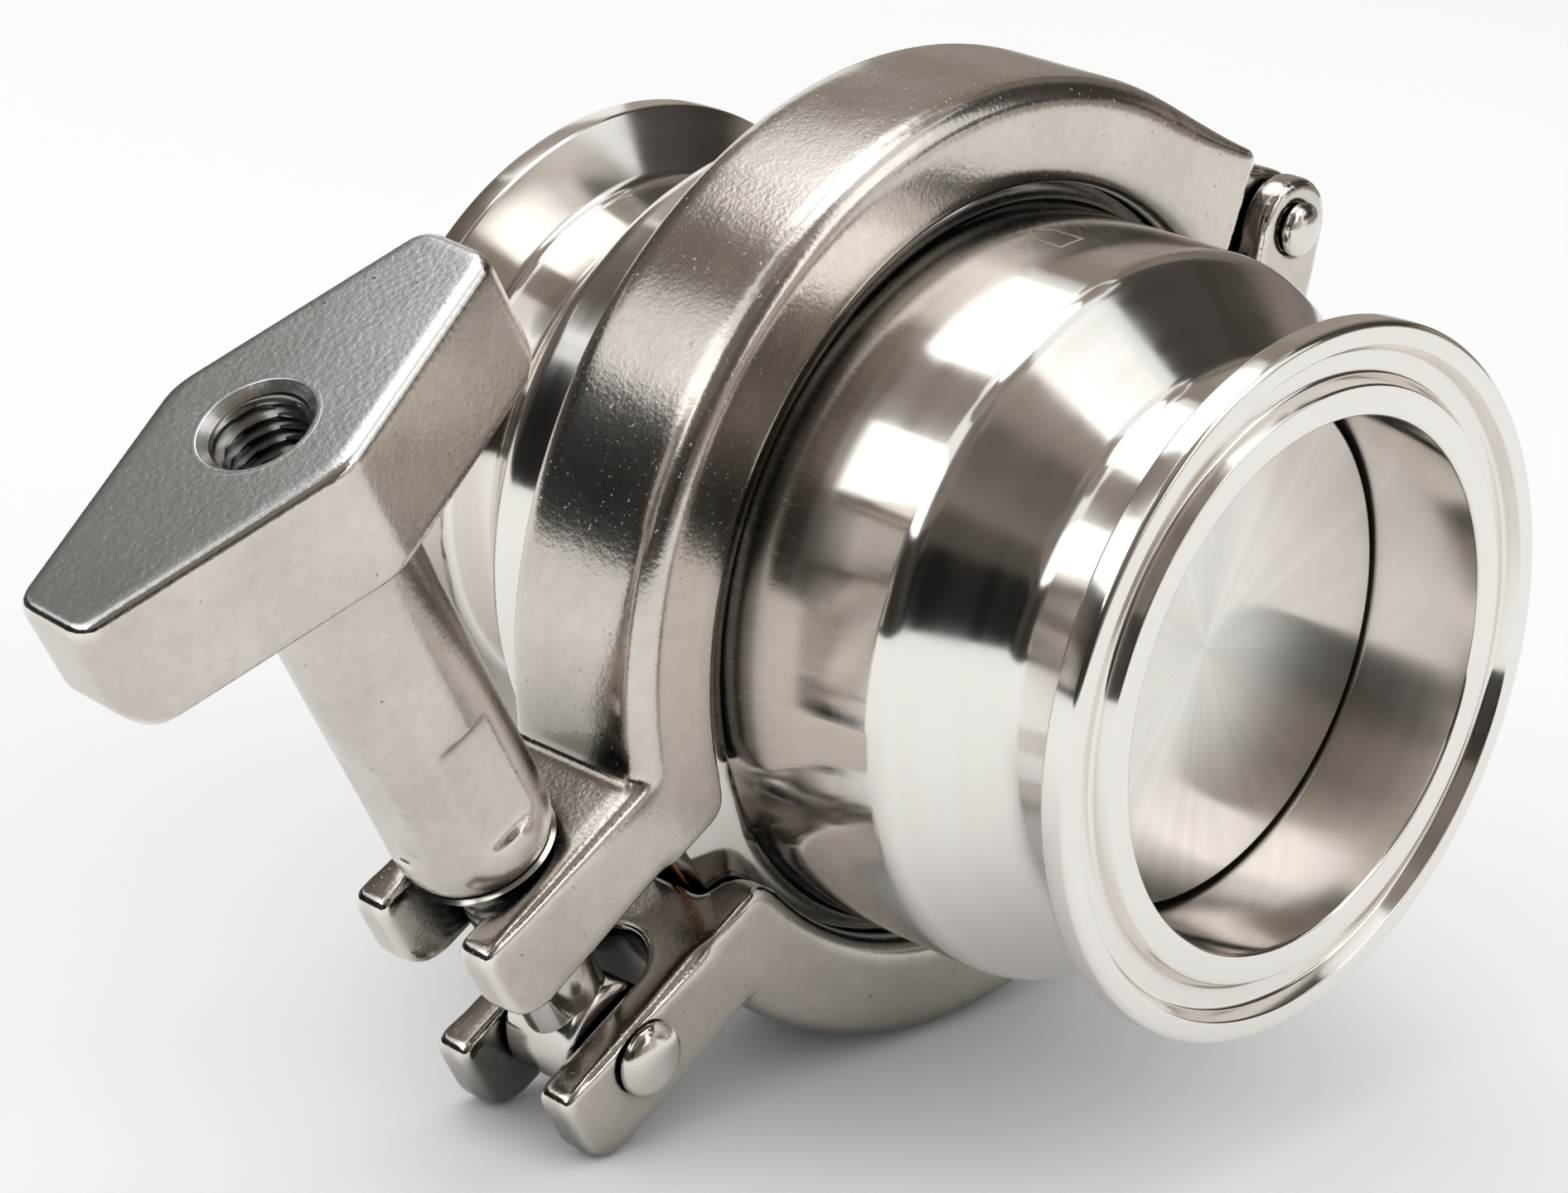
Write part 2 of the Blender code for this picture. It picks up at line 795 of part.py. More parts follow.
def build_pins(frame, steel):
    build_pin(
        "hinge_pin", hinge_pin_radius, hinge_fork_half_width, hinge_head_radius,
        hinge_head_height, (-hinge_reach, 0.0), frame, steel,
    )
    build_pin(
        "bolt_pivot_pin", pivot_pin_radius, clamp_half_width, pivot_head_radius,
        pivot_head_height, (bolt_reach, -pivot_drop), frame, steel,
    )


def build_swing_bolt(frame, steel):
    """Eye about the pivot pin and shank along +Z."""
    pivot = make_empty("bolt_swing", (joint_position, bolt_reach, -pivot_drop), frame)
    centre = Vector(pivot.location)
    shank = rounded(
        [
            (0.0, 0.0),
            (0.0, bolt_radius),
            (bolt_end + pivot_drop, bolt_radius, bolt_chamfer),
            (bolt_end + pivot_drop, 0.0),
        ]
    )
    eye = rounded(
        [
            (-eye_half_width, 0.0),
            (-eye_half_width, eye_radius, eye_edge),
            (eye_half_width, eye_radius, eye_edge),
            (eye_half_width, 0.0),
        ]
    )
    bolt = make_object("swing_bolt", turned(eye, small_segments), pivot, material=steel)
    side = eye_half_width + cut_margin
    radius = hole_radius["pivot"]
    hole = [(-side, 0.0), (-side, radius), (side, radius), (side, 0.0)]
    combine(
        bolt,
        [
            ("UNION", turned(shank, small_segments, "Z")),
            ("DIFFERENCE", turned(hole, pin_segments)),
        ],
    )
    return pivot, centre


def build_washer(pivot, centre, steel):
    """Spherical cup washer between the nut's round end and its seat in the ear."""
    travel = make_empty("nut_travel", (0.0, 0.0, boss_centre - centre.z), pivot)
    inner = boss_radius + gap
    outer = inner + washer_thickness
    hole = asin(nut_bore_radius / inner)
    outline = arc((0.0, 0.0), outer, pi - hole, pi - washer_spread, 3)
    outline += arc((0.0, 0.0), inner, pi - washer_spread, pi - hole, 3)
    bm = turned(outline, small_segments, "Z")
    make_object("nut_washer", bm, travel, material=steel)
    return travel


def handle_prism():
    """Long six-sided grip with rounded edges, about the bolt's axis."""
    tip, mid = handle_tip_half_width, handle_half_width
    length = handle_half_length
    outline = [(-tip, length), (-mid, 0.0), (-tip, -length), (tip, -length), (mid, 0.0), (tip, length)]
    bm = bmesh.new()
    low = nut_top - boss_centre - handle_depth
    high = nut_top - boss_centre
    ends = []
    for z in (low, high):
        ends.append([bm.verts.new((x, y, z)) for x, y in outline])
        bm.faces.new(ends[-1])
    join_rings(bm, ends, closed=False)
    bmesh.ops.recalc_face_normals(bm, faces=bm.faces)
    soften(bm, lambda a, b: abs(a.z - b.z) > 0.001, handle_corner, 2)
    soften(bm, lambda a, b: min(a.z, b.z) > high - 1e-5, handle_edge, 2)
    return bm


def underside_cut(end):
    """Cutter that rounds the lower edge at one end of the grip, +1 or -1 along Y."""
    low = nut_top - boss_centre - handle_depth
    centre = (end * (handle_half_length - handle_underside), low + handle_underside)
    start = 0.0 if end > 0 else pi
    outline = arc(centre, handle_underside, start, start - end * pi / 2.0, 4)
    outside = end * (handle_half_length + cut_margin)
    outline += [(centre[0], low - cut_margin), (outside, low - cut_margin), (outside, centre[1])]
    return prism(outline, -handle_half_width, handle_half_width)


def build_wing_nut(travel, cast):
    """Round-ended boss with a grip across its top, bored through for the bolt."""
    bottom = -boss_radius
    length = nut_top - boss_centre
    boss = arc((0.0, 0.0), boss_radius, pi, pi / 2.0, 6)
    boss[0] = (bottom, 0.0)
    boss += [(length - handle_depth / 2.0, boss_radius), (length - handle_depth / 2.0, 0.0)]
    bore = [
        (bottom - cut_margin, 0.0),
        (bottom - cut_margin, nut_bore_radius),
        (length - countersink_width, nut_bore_radius),
        (length + cut_margin, nut_bore_radius + countersink_width + cut_margin),
        (length + cut_margin, 0.0),
    ]
    nut = make_object("wing_nut", turned(boss, small_segments, "Z"), travel, material=cast)
    combine(
        nut,
        [
            ("UNION", handle_prism()),
            ("DIFFERENCE", underside_cut(1.0)),
            ("DIFFERENCE", underside_cut(-1.0)),
            ("DIFFERENCE", turned(bore, small_segments, "Z")),
        ],
    )
    nut.rotation_euler.z = -handle_turn


def rest_roll():
    """Roll at which the clamp's band and the lower ear's tip touch the same table."""
    reach = ear_tip - ear_heel
    drop = ear_top - ear_heel
    return asin((clamp_radius - ear_heel) / hypot(reach, drop)) - atan2(drop, reach)


def stand_on_table(frame):
    """Put the middle of the valve's footprint at the origin, with its lowest point at 0."""
    frame.rotation_euler.x = -rest_roll()
    bpy.context.view_layer.update()
    points = []
    for item in bpy.data.objects:
        if item.type == "MESH":
            points += [item.matrix_world @ vertex.co for vertex in item.data.vertices]
    low = [min(point[i] for point in points) for i in range(3)]
    high = [max(point[i] for point in points) for i in range(3)]
    frame.location = (-(low[0] + high[0]) / 2.0, -(low[1] + high[1]) / 2.0, -low[2])
    bpy.context.view_layer.update()


def main():
    clear_scene()
    turned_steel = make_material("turned_steel", (0.62, 0.60, 0.57), 0.12, 1.0)
    cast_steel = make_material("cast_steel", (0.58, 0.56, 0.53), 0.32, 1.0)
    pin_steel = make_material("pin_steel", (0.60, 0.58, 0.55), 0.18, 1.0)
    spring_steel = make_material("spring_steel", (0.50, 0.49, 0.47), 0.25, 1.0)
    black_rubber = make_material("black_rubber", (0.03, 0.03, 0.03), 0.6, 0.0)
    amber_rubber = make_material("amber_rubber", (0.55, 0.26, 0.10), 0.5, 0.0)
    white_plastic = make_material("white_plastic", (0.85, 0.84, 0.80), 0.45, 0.0)

    frame = make_empty("valve_frame", (0.0, 0.0, 0.0))
    build_bodies(frame, turned_steel)
    build_gasket(frame, amber_rubber)
    build_disc(frame, turned_steel, black_rubber)
    build_guide(frame, turned_steel, white_plastic)
    build_spring(frame, spring_steel)
    build_clamp(frame, cast_steel)
    build_pins(frame, pin_steel)
    pivot, centre = build_swing_bolt(frame, pin_steel)
    travel = build_washer(pivot, centre, pin_steel)
    build_wing_nut(travel, cast_steel)
    stand_on_table(frame)


main()
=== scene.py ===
"""Looks of the spring non-return valve: finer solids, steel materials, studio and camera.

The valve frame of the CAD model has +X along the flow, +Y towards the clamp's ears and
+Z along the swing bolt. Pieces are built in that frame, in metres, and then turned to the
world's axes about a point on the valve's axis, so a material's object coordinates have
that axis on X.
"""

import json
from functools import cached_property
from math import acos, asin, atan2, ceil, cos, hypot, pi, radians, sin, sqrt, tan, tau

import bmesh
import bpy
from mathutils import Matrix, Quaternion, Vector
from mathutils.geometry import convex_hull_2d


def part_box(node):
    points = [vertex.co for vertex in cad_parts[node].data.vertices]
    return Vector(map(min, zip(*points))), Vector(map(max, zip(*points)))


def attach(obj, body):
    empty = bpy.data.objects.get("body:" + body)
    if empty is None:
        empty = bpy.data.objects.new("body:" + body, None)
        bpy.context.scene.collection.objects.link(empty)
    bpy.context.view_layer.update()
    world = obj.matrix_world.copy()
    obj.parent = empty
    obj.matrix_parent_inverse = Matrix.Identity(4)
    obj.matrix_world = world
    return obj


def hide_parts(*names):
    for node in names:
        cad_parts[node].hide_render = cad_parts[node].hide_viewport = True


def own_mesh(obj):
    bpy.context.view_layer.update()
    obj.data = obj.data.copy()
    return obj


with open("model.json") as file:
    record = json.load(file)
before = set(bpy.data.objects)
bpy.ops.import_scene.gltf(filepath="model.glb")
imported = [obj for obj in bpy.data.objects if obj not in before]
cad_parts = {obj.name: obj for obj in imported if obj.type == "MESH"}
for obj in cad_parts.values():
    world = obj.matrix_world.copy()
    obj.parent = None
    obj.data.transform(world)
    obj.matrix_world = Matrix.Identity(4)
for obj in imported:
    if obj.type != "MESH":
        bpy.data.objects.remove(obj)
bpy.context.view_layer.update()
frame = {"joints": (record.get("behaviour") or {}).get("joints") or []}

# Sizes shared with the CAD model, in metres
gap = 0.0003
flank_clearance = 0.0005
nose_clearance = 0.0004
face_to_face = 0.0850
bore_radius = 0.02375
neck_radius = 0.0254
ferrule_radius = 0.03195
ferrule_rim = 0.0026
ferrule_slope = radians(20.0)
port_groove_radius = 0.0282
groove_width = 0.0034
groove_depth = 0.0014
shoulder_start = 0.0117
seat_start = 0.0124
chamber_radius = 0.0302
barrel_radius = 0.0332
joint_position = 0.0438
joint_thickness = 0.0016
flange_radius = 0.0387
flange_rim = 0.0028
flange_groove_radius = 0.0348

disc_nose = 0.0008
disc_edge_radius = 0.0278
disc_edge = 0.0012
disc_hub_radius = 0.0080
disc_hub_length = 0.0050
seal_position = 0.0148
seal_wire = 0.0030
stem_radius = 0.0040
stem_socket = 0.0030
stem_end = 0.0730
spring_radius = 0.0105
spring_wire = 0.0016
spring_turns = 7
dead_pitch = 0.0020
guide_rim = 0.0028
guide_rim_length = 0.0036
guide_cone = 0.0020
guide_hub_radius = 0.0083
guide_hub_lead = 0.0040
arm_count = 3
arm_width = 0.0030
arm_depth = 0.0040
bush_wall = 0.0014
bush_flange = 0.0012

clamp_half_width = 0.0083
clamp_radius = 0.0447
clamp_edge = 0.0025
clamp_wall = 0.0054
lip_radius = 0.0350
lip_edge = 0.0018
parting_gap = 0.0098
parting_fillet = 0.0030
ear_tip = 0.0630
ear_top = 0.0145
ear_corner = 0.0014
ear_heel = 0.0042
hinge_reach = 0.0475
knuckle_radius = 0.0047
lug_reach = 0.0456
lug_rise = 0.0110
lug_foot = 0.0380
tongue_half_width = 0.0042
hinge_fork_half_width = 0.0076
hinge_pin_radius = 0.0020
hinge_head_radius = 0.0026
hinge_head_height = 0.0013

bolt_reach = 0.0537
pivot_drop = 0.0084
slot_half_width = 0.0045
bolt_radius = 0.00395
bolt_end = 0.0540
bolt_chamfer = 0.0010
eye_radius = 0.0052
eye_half_width = 0.0042
pivot_pin_radius = 0.0022
pivot_head_radius = 0.0034
pivot_head_height = 0.0017
boss_radius = 0.0071
boss_centre = 0.0194
nut_top = 0.0650
handle_depth = 0.0120
handle_half_length = 0.0228
handle_half_width = 0.0110
handle_tip_half_width = 0.0042
handle_corner = 0.0016
handle_underside = 0.0040
handle_turn = radians(3.0)
wrench_flat = 0.0064
wrench_flat_low = 0.0205
wrench_flat_high = 0.0325
nut_bore_radius = 0.00425
countersink_radius = 0.0050
washer_spread = radians(60.0)
seat_stretch = 0.0020

# Sizes that follow from them
seat_offset = bore_radius - seat_start
disc_face = seat_start - disc_nose
nose_radius = bore_radius - nose_clearance
disc_flank = seat_offset - flank_clearance * sqrt(2.0)
disc_edge_start = disc_edge_radius - disc_flank
disc_back = disc_edge_start + disc_edge
guide_radius = chamber_radius - gap
guide_corner = face_to_face + seat_offset - gap * sqrt(2.0) - guide_radius
guide_front = guide_corner - guide_rim_length

# Radii of edges and corners
fine_edge = 0.0002
small_edge = 0.0003
face_edge = 0.0004
medium_edge = 0.0005
rim_edge = 0.0006
large_edge = 0.0008
slope_fillet = 0.0015
shoulder_fillet = 0.0025
barrel_fillet = 0.0030
chamber_fillet = 0.0020
disc_fillet = 0.0010
stem_nose = 0.0009
cast_edge = 0.0017
lug_edge = 0.0022
handle_top_edge = 0.0009
rim_lip_edge = 0.00004

# Sizes that only the finer pieces have
lip_play = 0.00012
pin_play = 0.0001
washer_play = 0.00008
washer_wall = 0.00045
dish_clearance = 0.00065
bolt_neck = 0.0100
thread_start = 0.0015
thread_pitch = 0.00125
bolt_thread_depth = 0.0006
nut_thread_depth = 0.0007
liner_start = 0.0006
liner_wall = 0.0002
bore_rim_width = 0.0005
bore_rim_foot = 0.0003
bore_rim_seat = 0.0004
bore_rim_overlap = 0.0002
bore_rim_proud = 0.00001
mark_tail = 0.0271
mark_shoulder = 0.0306
mark_tip = 0.0322
mark_half_width = 0.0015
mark_line = 0.00022
mark_proud = 0.00002
mark_depth = 0.00010
mark_turn = radians(115.5)

# Share of a groove's width that is flat, and of a head's height below its dome
groove_floor = 0.6
head_band = 0.15

# How far rough blocks and cutters run past what they meet
skim = 0.0001
over_top = 0.0010
cast_overlap = 0.0012
short_reach = 0.0020
rough_depth = 0.0040
cutter_reach = 0.0060
hole_half_length = 0.0120

# Fineness of the pieces built here
round_steps = 192
small_steps = 64
fillet_step = radians(9.0)
coil_steps = 48
wire_sides = 16
dome_steps = 10
mark_steps = 8
edge_span = 0.0010
level_play = 0.00001
sliver = 0.000001
cast_voxel = 0.00038
cast_passes = 18
nut_voxel = 0.00032
nut_passes = 8
smooth_limit = radians(40.0)

# Studio
camera_place = Vector((-0.216167, 0.184220, 0.281243))
camera_turn = Quaternion((0.258472, 0.268491, -0.312640, -0.873705))
camera_lens = 108.1
camera_sensor = 36.0
floor_half_width = 6.0
floor_drop = 0.0002
card_rows = 8
card_columns = 16
studio_radius = 0.75
studio_height = 0.045
lamp_aim = Vector((0.0, 0.0, 0.04))
ambient = 0.82

# Colour of the palest steel
pale_steel = (0.80, 0.765, 0.725)

# Lamps: name, place, width and height, power and colour
lamps = (
    ("key", (0.27, 0.99, 0.81), (1.25, 0.50), 1.7, (1.0, 0.99, 0.97)),
    ("left", (-0.95, -0.25, 0.62), (0.62, 0.95), 1.25, (1.0, 0.99, 0.98)),
    ("right", (0.66, -0.12, 1.14), (0.75, 0.34), 1.0, (1.0, 0.99, 0.97)),
    ("top", (0.05, 0.02, 1.20), (0.70, 0.70), 1.6, (1.0, 1.0, 0.99)),
)

# Darkest and palest colour of a card, as shares of its tone
card_shares = ((0.80, 0.70, 0.60), (1.20, 1.08, 0.98))

# Cards round the valve: azimuth from and to, elevation from and to, in degrees, and tone
cards = (
    (15, 31, -3, 28, 0.065),
    (31, 61, -3, 26, 0.016),
    (61, 101, -3, 25.5, 0.040),
    (101, 128, -3, 25.5, 0.050),
    (128, 149, -3, 17, 0.008),
    (128, 149, 17, 25.5, 0.1),
    (149, 176, -3, 18, 0.13),
    (149, 184, 18, 44, 0.12),
    (149, 180, 44, 60, 0.34),
    (103, 149, 25.5, 60, 0.20),
    (58, 175, 60, 74, 0.28),
    (16, 44, 43, 60, 0.29),
    (-5, 16, 43, 51, 0.25),
    (-22, 15, -3, 31, 0.11),
    (-8, 30, 31, 43, 0.15),
    (-43, -8, 31, 46, 0.32),
    (-66, -43, -3, 60, 0.34),
    (-92, -66, -1, 60, 0.20),
    (-107, -92, 16, 62, 0.07),
    (-134, -107, 16, 58, 0.06),
    (-112, -92, -1, 16, 0.36),
    (-134, -112, -3, 6, 0.30),
    (-144, -112, 6, 16, 0.05),
    (-165, -150, -3, 24, 0.50),
    (-118, -62, 62, 73, 0.32),
    (-190, -165, -3, 14, 0.34),
)


def valve_matrix():
    """Place of the valve frame, from the bodies' box and the wing nut's axis."""
    low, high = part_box("inlet_body")
    turn = next(j for j in frame["joints"] if j["name"] == "wing_nut_turn")
    up = Vector(turn["axis"]).normalized()
    flow = Vector((1.0, 0.0, 0.0))
    ears = up.cross(flow)
    matrix = Matrix((flow, ears, up)).transposed().to_4x4()
    middle = (Vector(low) + Vector(high)) / 2.0
    matrix.translation = (low[0], middle.y, middle.z)
    return matrix


valve = valve_matrix()


def add_object(name, data):
    thing = bpy.data.objects.new(name, data)
    bpy.context.collection.objects.link(thing)
    return thing


def add_mesh(name, bm):
    mesh = bpy.data.meshes.new(name)
    bm.to_mesh(mesh)
    bm.free()
    return mesh


def finish_mesh(mesh):
    """Shade a mesh smooth, but for its sharp edges."""
    mesh.shade_smooth()
    mesh.set_sharp_from_angle(angle=smooth_limit)


def weld(bm):
    """Merge points that all but meet, and drop the slivers between them."""
    bmesh.ops.remove_doubles(bm, verts=bm.verts, dist=sliver)
    bmesh.ops.dissolve_degenerate(bm, edges=bm.edges, dist=sliver)


def make_piece(name, bm, material):
    """Piece whose mesh is in the valve frame."""
    bmesh.ops.recalc_face_normals(bm, faces=bm.faces)
    mesh = add_mesh(name, bm)
    finish_mesh(mesh)
    if material:
        mesh.materials.append(material)
    piece = add_object(name, mesh)
    piece.matrix_world = valve
    return piece


def dress(piece, body, node):
    """Turn a piece to the world's axes and let it ride on a body, in place of a node if named."""
    piece.data.transform(valve.to_3x3().to_4x4())
    piece.matrix_world = Matrix.Translation(valve.translation)
    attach(piece, body)
    if node:
        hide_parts(node)


def apply_modifiers(piece):
    """Bake the piece's modifiers into its mesh."""
    depsgraph = bpy.context.evaluated_depsgraph_get()
    result = bpy.data.meshes.new_from_object(piece.evaluated_get(depsgraph))
    piece.modifiers.clear()
    piece.data = result
    finish_mesh(result)


def join(*forms):
    return [("UNION", bm) for bm in forms]


def cut(*forms):
    return [("DIFFERENCE", bm) for bm in forms]


def combine(piece, steps):
    """Apply unions and cuts to a piece, in the order of the steps from join and cut."""
    tools = []
    for operation, bm in steps:
        tool = make_piece(piece.name + "_tool", bm, None)
        modifier = piece.modifiers.new(operation.lower(), "BOOLEAN")
        modifier.operation = operation
        modifier.solver = "EXACT"
        modifier.object = tool
        tools.append(tool)
    apply_modifiers(piece)
    for tool in tools:
        bpy.data.objects.remove(tool)
    bm = bmesh.new()
    bm.from_mesh(piece.data)
    weld(bm)
    bm.to_mesh(piece.data)
    bm.free()


def limit(value):
    return max(-1.0, min(1.0, value))


def arc(centre, radius, start, end, steps):
    angles = [start + (end - start) * step / steps for step in range(steps + 1)]
    return [(centre[0] + radius * cos(angle), centre[1] + radius * sin(angle)) for angle in angles]


def rounded(corners):
    """Outline through corners (a, b) or (a, b, fillet radius), closed on itself."""
    points = []
    count = len(corners)
    for index, corner in enumerate(corners):
        here = Vector(corner[:2])
        if len(corner) == 2:
            points.append(tuple(here))
            continue
        before = (Vector(corners[index - 1][:2]) - here).normalized()
        after = (Vector(corners[(index + 1) % count][:2]) - here).normalized()
        inner = acos(limit(before.dot(after)))
        reach = corner[2] / tan(inner / 2.0)
        centre = here + (before + after).normalized() * corner[2] / sin(inner / 2.0)
        first = here + before * reach - centre
        last = here + after * reach - centre
        start = atan2(first.y, first.x)
        sweep = atan2(first.x * last.y - first.y * last.x, first.dot(last))
        steps = max(1, ceil((pi - inner) / fillet_step))
        points += arc(centre, corner[2], start, start + sweep, steps)
    return points


def sleeve(start, end, inner, outer, edge):
    """Outline of a ring, or of a rod where inner is 0, with rounded outer edges."""
    return rounded([(start, inner), (start, outer, edge), (end, outer, edge), (end, inner)])


def join_rings(bm, rings, closed):
    """Faces between neighbouring rings of vertices. A ring of one vertex is a pole."""
    for index in range(len(rings) if closed else len(rings) - 1):
        here, there = rings[index], rings[(index + 1) % len(rings)]
        count = max(len(here), len(there))
        if count == 1:
            continue
        for step in range(count):
            corners = [
                here[step % len(here)],
                here[(step + 1) % len(here)],
                there[(step + 1) % len(there)],
                there[step % len(there)],
            ]
            bm.faces.new(list(dict.fromkeys(corners)))


def join_rows(bm, rows):
    """Faces between neighbouring rows of vertices, which are open at both ends."""
    for here, there in zip(rows, rows[1:]):
        for index in range(len(here) - 1):
            bm.faces.new((here[index], here[index + 1], there[index + 1], there[index]))


def circle(bm, radius, z):
    """Ring of vertices about the Z axis."""
    angles = [tau * step / small_steps for step in range(small_steps)]
    return [bm.verts.new((radius * cos(angle), radius * sin(angle), z)) for angle in angles]


def turned(outline, segments, axis="X", centre=(0, 0, 0)):
    """Turn a closed outline of (along, radius) points about an axis through centre."""
    bm = bmesh.new()
    rings = []
    for along, radius in outline:
        if radius < sliver:
            rings.append([bm.verts.new((along, 0.0, 0.0))])
            continue
        ring = []
        for step in range(segments):
            angle = tau * step / segments
            ring.append(bm.verts.new((along, radius * cos(angle), radius * sin(angle))))
        rings.append(ring)
    join_rings(bm, rings, closed=True)
    if axis == "Z":
        spin(bm, -pi / 2.0, "Y")
    bmesh.ops.translate(bm, verts=bm.verts, vec=centre)
    return bm


def build_turned(node, outline, segments, body, material, axis="X", centre=(0, 0, 0)):
    """Turned piece that takes the place of a CAD node."""
    piece = make_piece(node + "_fine", turned(outline, segments, axis, centre), material)
    dress(piece, body, node)


def prism(outline, low, high):
    """Extrude a closed outline of (Y, Z) points from X = low to X = high."""
    bm = bmesh.new()
    ends = []
    for x in (low, high):
        ends.append([bm.verts.new((x, y, z)) for y, z in outline])
        bm.faces.new(ends[-1])
    join_rings(bm, ends, closed=False)
    return bm


def spin(bm, angle, axis):
    bmesh.ops.rotate(bm, verts=bm.verts, matrix=Matrix.Rotation(angle, 3, axis))


def block(low, high):
    """Box between two opposite corners."""
    bm = bmesh.new()
    bmesh.ops.create_cube(bm, size=1.0)
    bmesh.ops.scale(bm, verts=bm.verts, vec=[high[i] - low[i] for i in range(3)])
    bmesh.ops.translate(bm, verts=bm.verts, vec=[(high[i] + low[i]) / 2.0 for i in range(3)])
    return bm


def soften(bm, wanted, width, segments=4):
    """Round the edges whose two ends pass the test wanted(start, end)."""
    edges = [edge for edge in bm.edges if wanted(edge.verts[0].co, edge.verts[1].co)]
    bmesh.ops.bevel(bm, geom=edges, offset=width, segments=segments, profile=0.5, affect="EDGES")


def slot(outline, centre, straight):
    """Cutter about a Z axis through centre, stretched by a straight length along +Y."""
    bm = bmesh.new()
    steps = small_steps // 2
    turns = [(pi * step / steps, 0.0) for step in range(steps + 1)]
    turns += [(pi + pi * step / steps, straight) for step in range(steps + 1)]
    rings = []
    for angle, run in turns:
        ring = []
        for radius, z in outline:
            x = centre[0] + radius * cos(angle)
            y = centre[1] - radius * sin(angle) + run
            ring.append(bm.verts.new((x, y, z)))
        rings.append(ring)
    join_rows(bm, rings + rings[:1])
    weld(bm)
    return bm


def groove(position, radius, inward):
    """Gasket groove in an end face, with rounded walls."""
    half = groove_width / 2.0
    return [
        (position, radius - half, small_edge),
        (position + inward * groove_depth, radius - half * groove_floor, medium_edge),
        (position + inward * groove_depth, radius + half * groove_floor, medium_edge),
        (position, radius + half, small_edge),
    ]


def body_outline(length):
    neck_start = ferrule_rim + (ferrule_radius - neck_radius) * tan(ferrule_slope)
    rim_start = length - flange_rim
    root = rim_start - (flange_radius - barrel_radius) * tan(ferrule_slope)
    corners = [(0.0, bore_radius, face_edge)]
    corners += groove(0.0, port_groove_radius, 1.0)
    corners += [
        (0.0, ferrule_radius, rim_edge),
        (ferrule_rim, ferrule_radius, small_edge),
        (neck_start, neck_radius, slope_fillet),
        (shoulder_start, neck_radius, shoulder_fillet),
        (shoulder_start + barrel_radius - neck_radius, barrel_radius, barrel_fillet),
        (root, barrel_radius, slope_fillet),
        (rim_start, flange_radius, small_edge),
        (length, flange_radius, face_edge),
    ]
    corners += reversed(groove(length, flange_groove_radius, -1.0))
    corners += [
        (length, chamber_radius, small_edge),
        (seat_start + chamber_radius - bore_radius, chamber_radius, chamber_fillet),
        (seat_start, bore_radius, small_edge),
    ]
    return rounded(corners)


def build_bodies(steel):
    inlet = body_outline(joint_position - joint_thickness / 2.0)
    outlet = body_outline(face_to_face - joint_position - joint_thickness / 2.0)
    outlet = [(face_to_face - x, radius) for x, radius in outlet]
    build_turned("inlet_body", inlet, round_steps, "valve_body", steel)
    build_turned("outlet_body", outlet, round_steps, "valve_body", steel)


def build_poppet(face, steel, rubber):
    groove_radius = seal_wire / 2.0 + gap
    back = groove_radius / sqrt(2.0)
    centre = (seal_position + back, seal_position + seat_offset - back)
    opening = acos((groove_radius - flank_clearance) / groove_radius)
    start = radians(135.0) + opening
    recess = arc(centre, groove_radius, start, start + 2.0 * (pi - opening), 24)
    socket, hub_end, floor = stem_radius + gap, disc_back + disc_hub_length, disc_back - stem_socket
    disc = rounded([
        (disc_face, 0.0),
        (disc_face, nose_radius, small_edge),
        (nose_radius - disc_flank, nose_radius, fine_edge),
        *recess,
        (disc_edge_start, disc_edge_radius, fine_edge),
        (disc_back, disc_edge_radius, face_edge),
        (disc_back, disc_hub_radius, disc_fillet),
        (hub_end, disc_hub_radius, medium_edge),
        (hub_end, socket),
        (floor, socket),
        (floor, 0.0),
    ])
    build_turned("poppet_disc", disc, round_steps, "poppet", face)
    wire = arc(centre, seal_wire / 2.0, 0.0, tau, 24)[:-1]
    build_turned("poppet_seal", wire, round_steps, "poppet", rubber)
    stem = rounded([
        (floor + gap, 0.0),
        (floor + gap, stem_radius, medium_edge),
        (stem_end, stem_radius, stem_nose),
        (stem_end, 0.0),
    ])
    build_turned("poppet_stem", stem, small_steps, "poppet", steel)


def build_guide(steel, plastic):
    inner = guide_radius - guide_rim
    hub_bore = stem_radius + bush_wall + 2.0 * gap
    hub_front = guide_front - guide_hub_lead
    hub_back = guide_corner + guide_cone
    rim = rounded([
        (guide_front, inner, medium_edge),
        (guide_front, guide_radius, small_edge),
        (guide_corner, guide_radius, fine_edge),
        (hub_back, guide_radius - guide_cone, fine_edge),
        (hub_back, inner, medium_edge),
    ])
    hub = sleeve(hub_front, hub_back, hub_bore, guide_hub_radius, large_edge)
    arms = []
    reach = (guide_hub_radius + hub_bore) / 2.0, guide_radius - guide_rim / 2.0
    half = arm_width / 2.0
    for index in range(arm_count):
        arm = block((guide_front, reach[0], -half), (guide_front + arm_depth, reach[1], half))
        soften(arm, lambda a, b: abs(a.y - b.y) > edge_span, rim_edge)
        spin(arm, tau * index / arm_count + pi / 2.0, "X")
        arms.append(arm)
    spider = make_piece("guide_spider_fine", turned(rim, round_steps), steel)
    combine(spider, join(*arms, turned(hub, small_steps)))
    dress(spider, "valve_body", "guide_spider")
    bore = stem_radius + gap
    wall = bore + bush_wall
    bush = rounded([
        (hub_front - gap - bush_flange, bore, small_edge),
        (hub_front - gap - bush_flange, guide_hub_radius - large_edge, small_edge),
        (hub_front - gap, guide_hub_radius - large_edge),
        (hub_front - gap, wall),
        (hub_back + gap, wall, fine_edge),
        (hub_back + gap, bore, small_edge),
    ])
    build_turned("guide_bush", bush, small_steps, "valve_body", plastic)


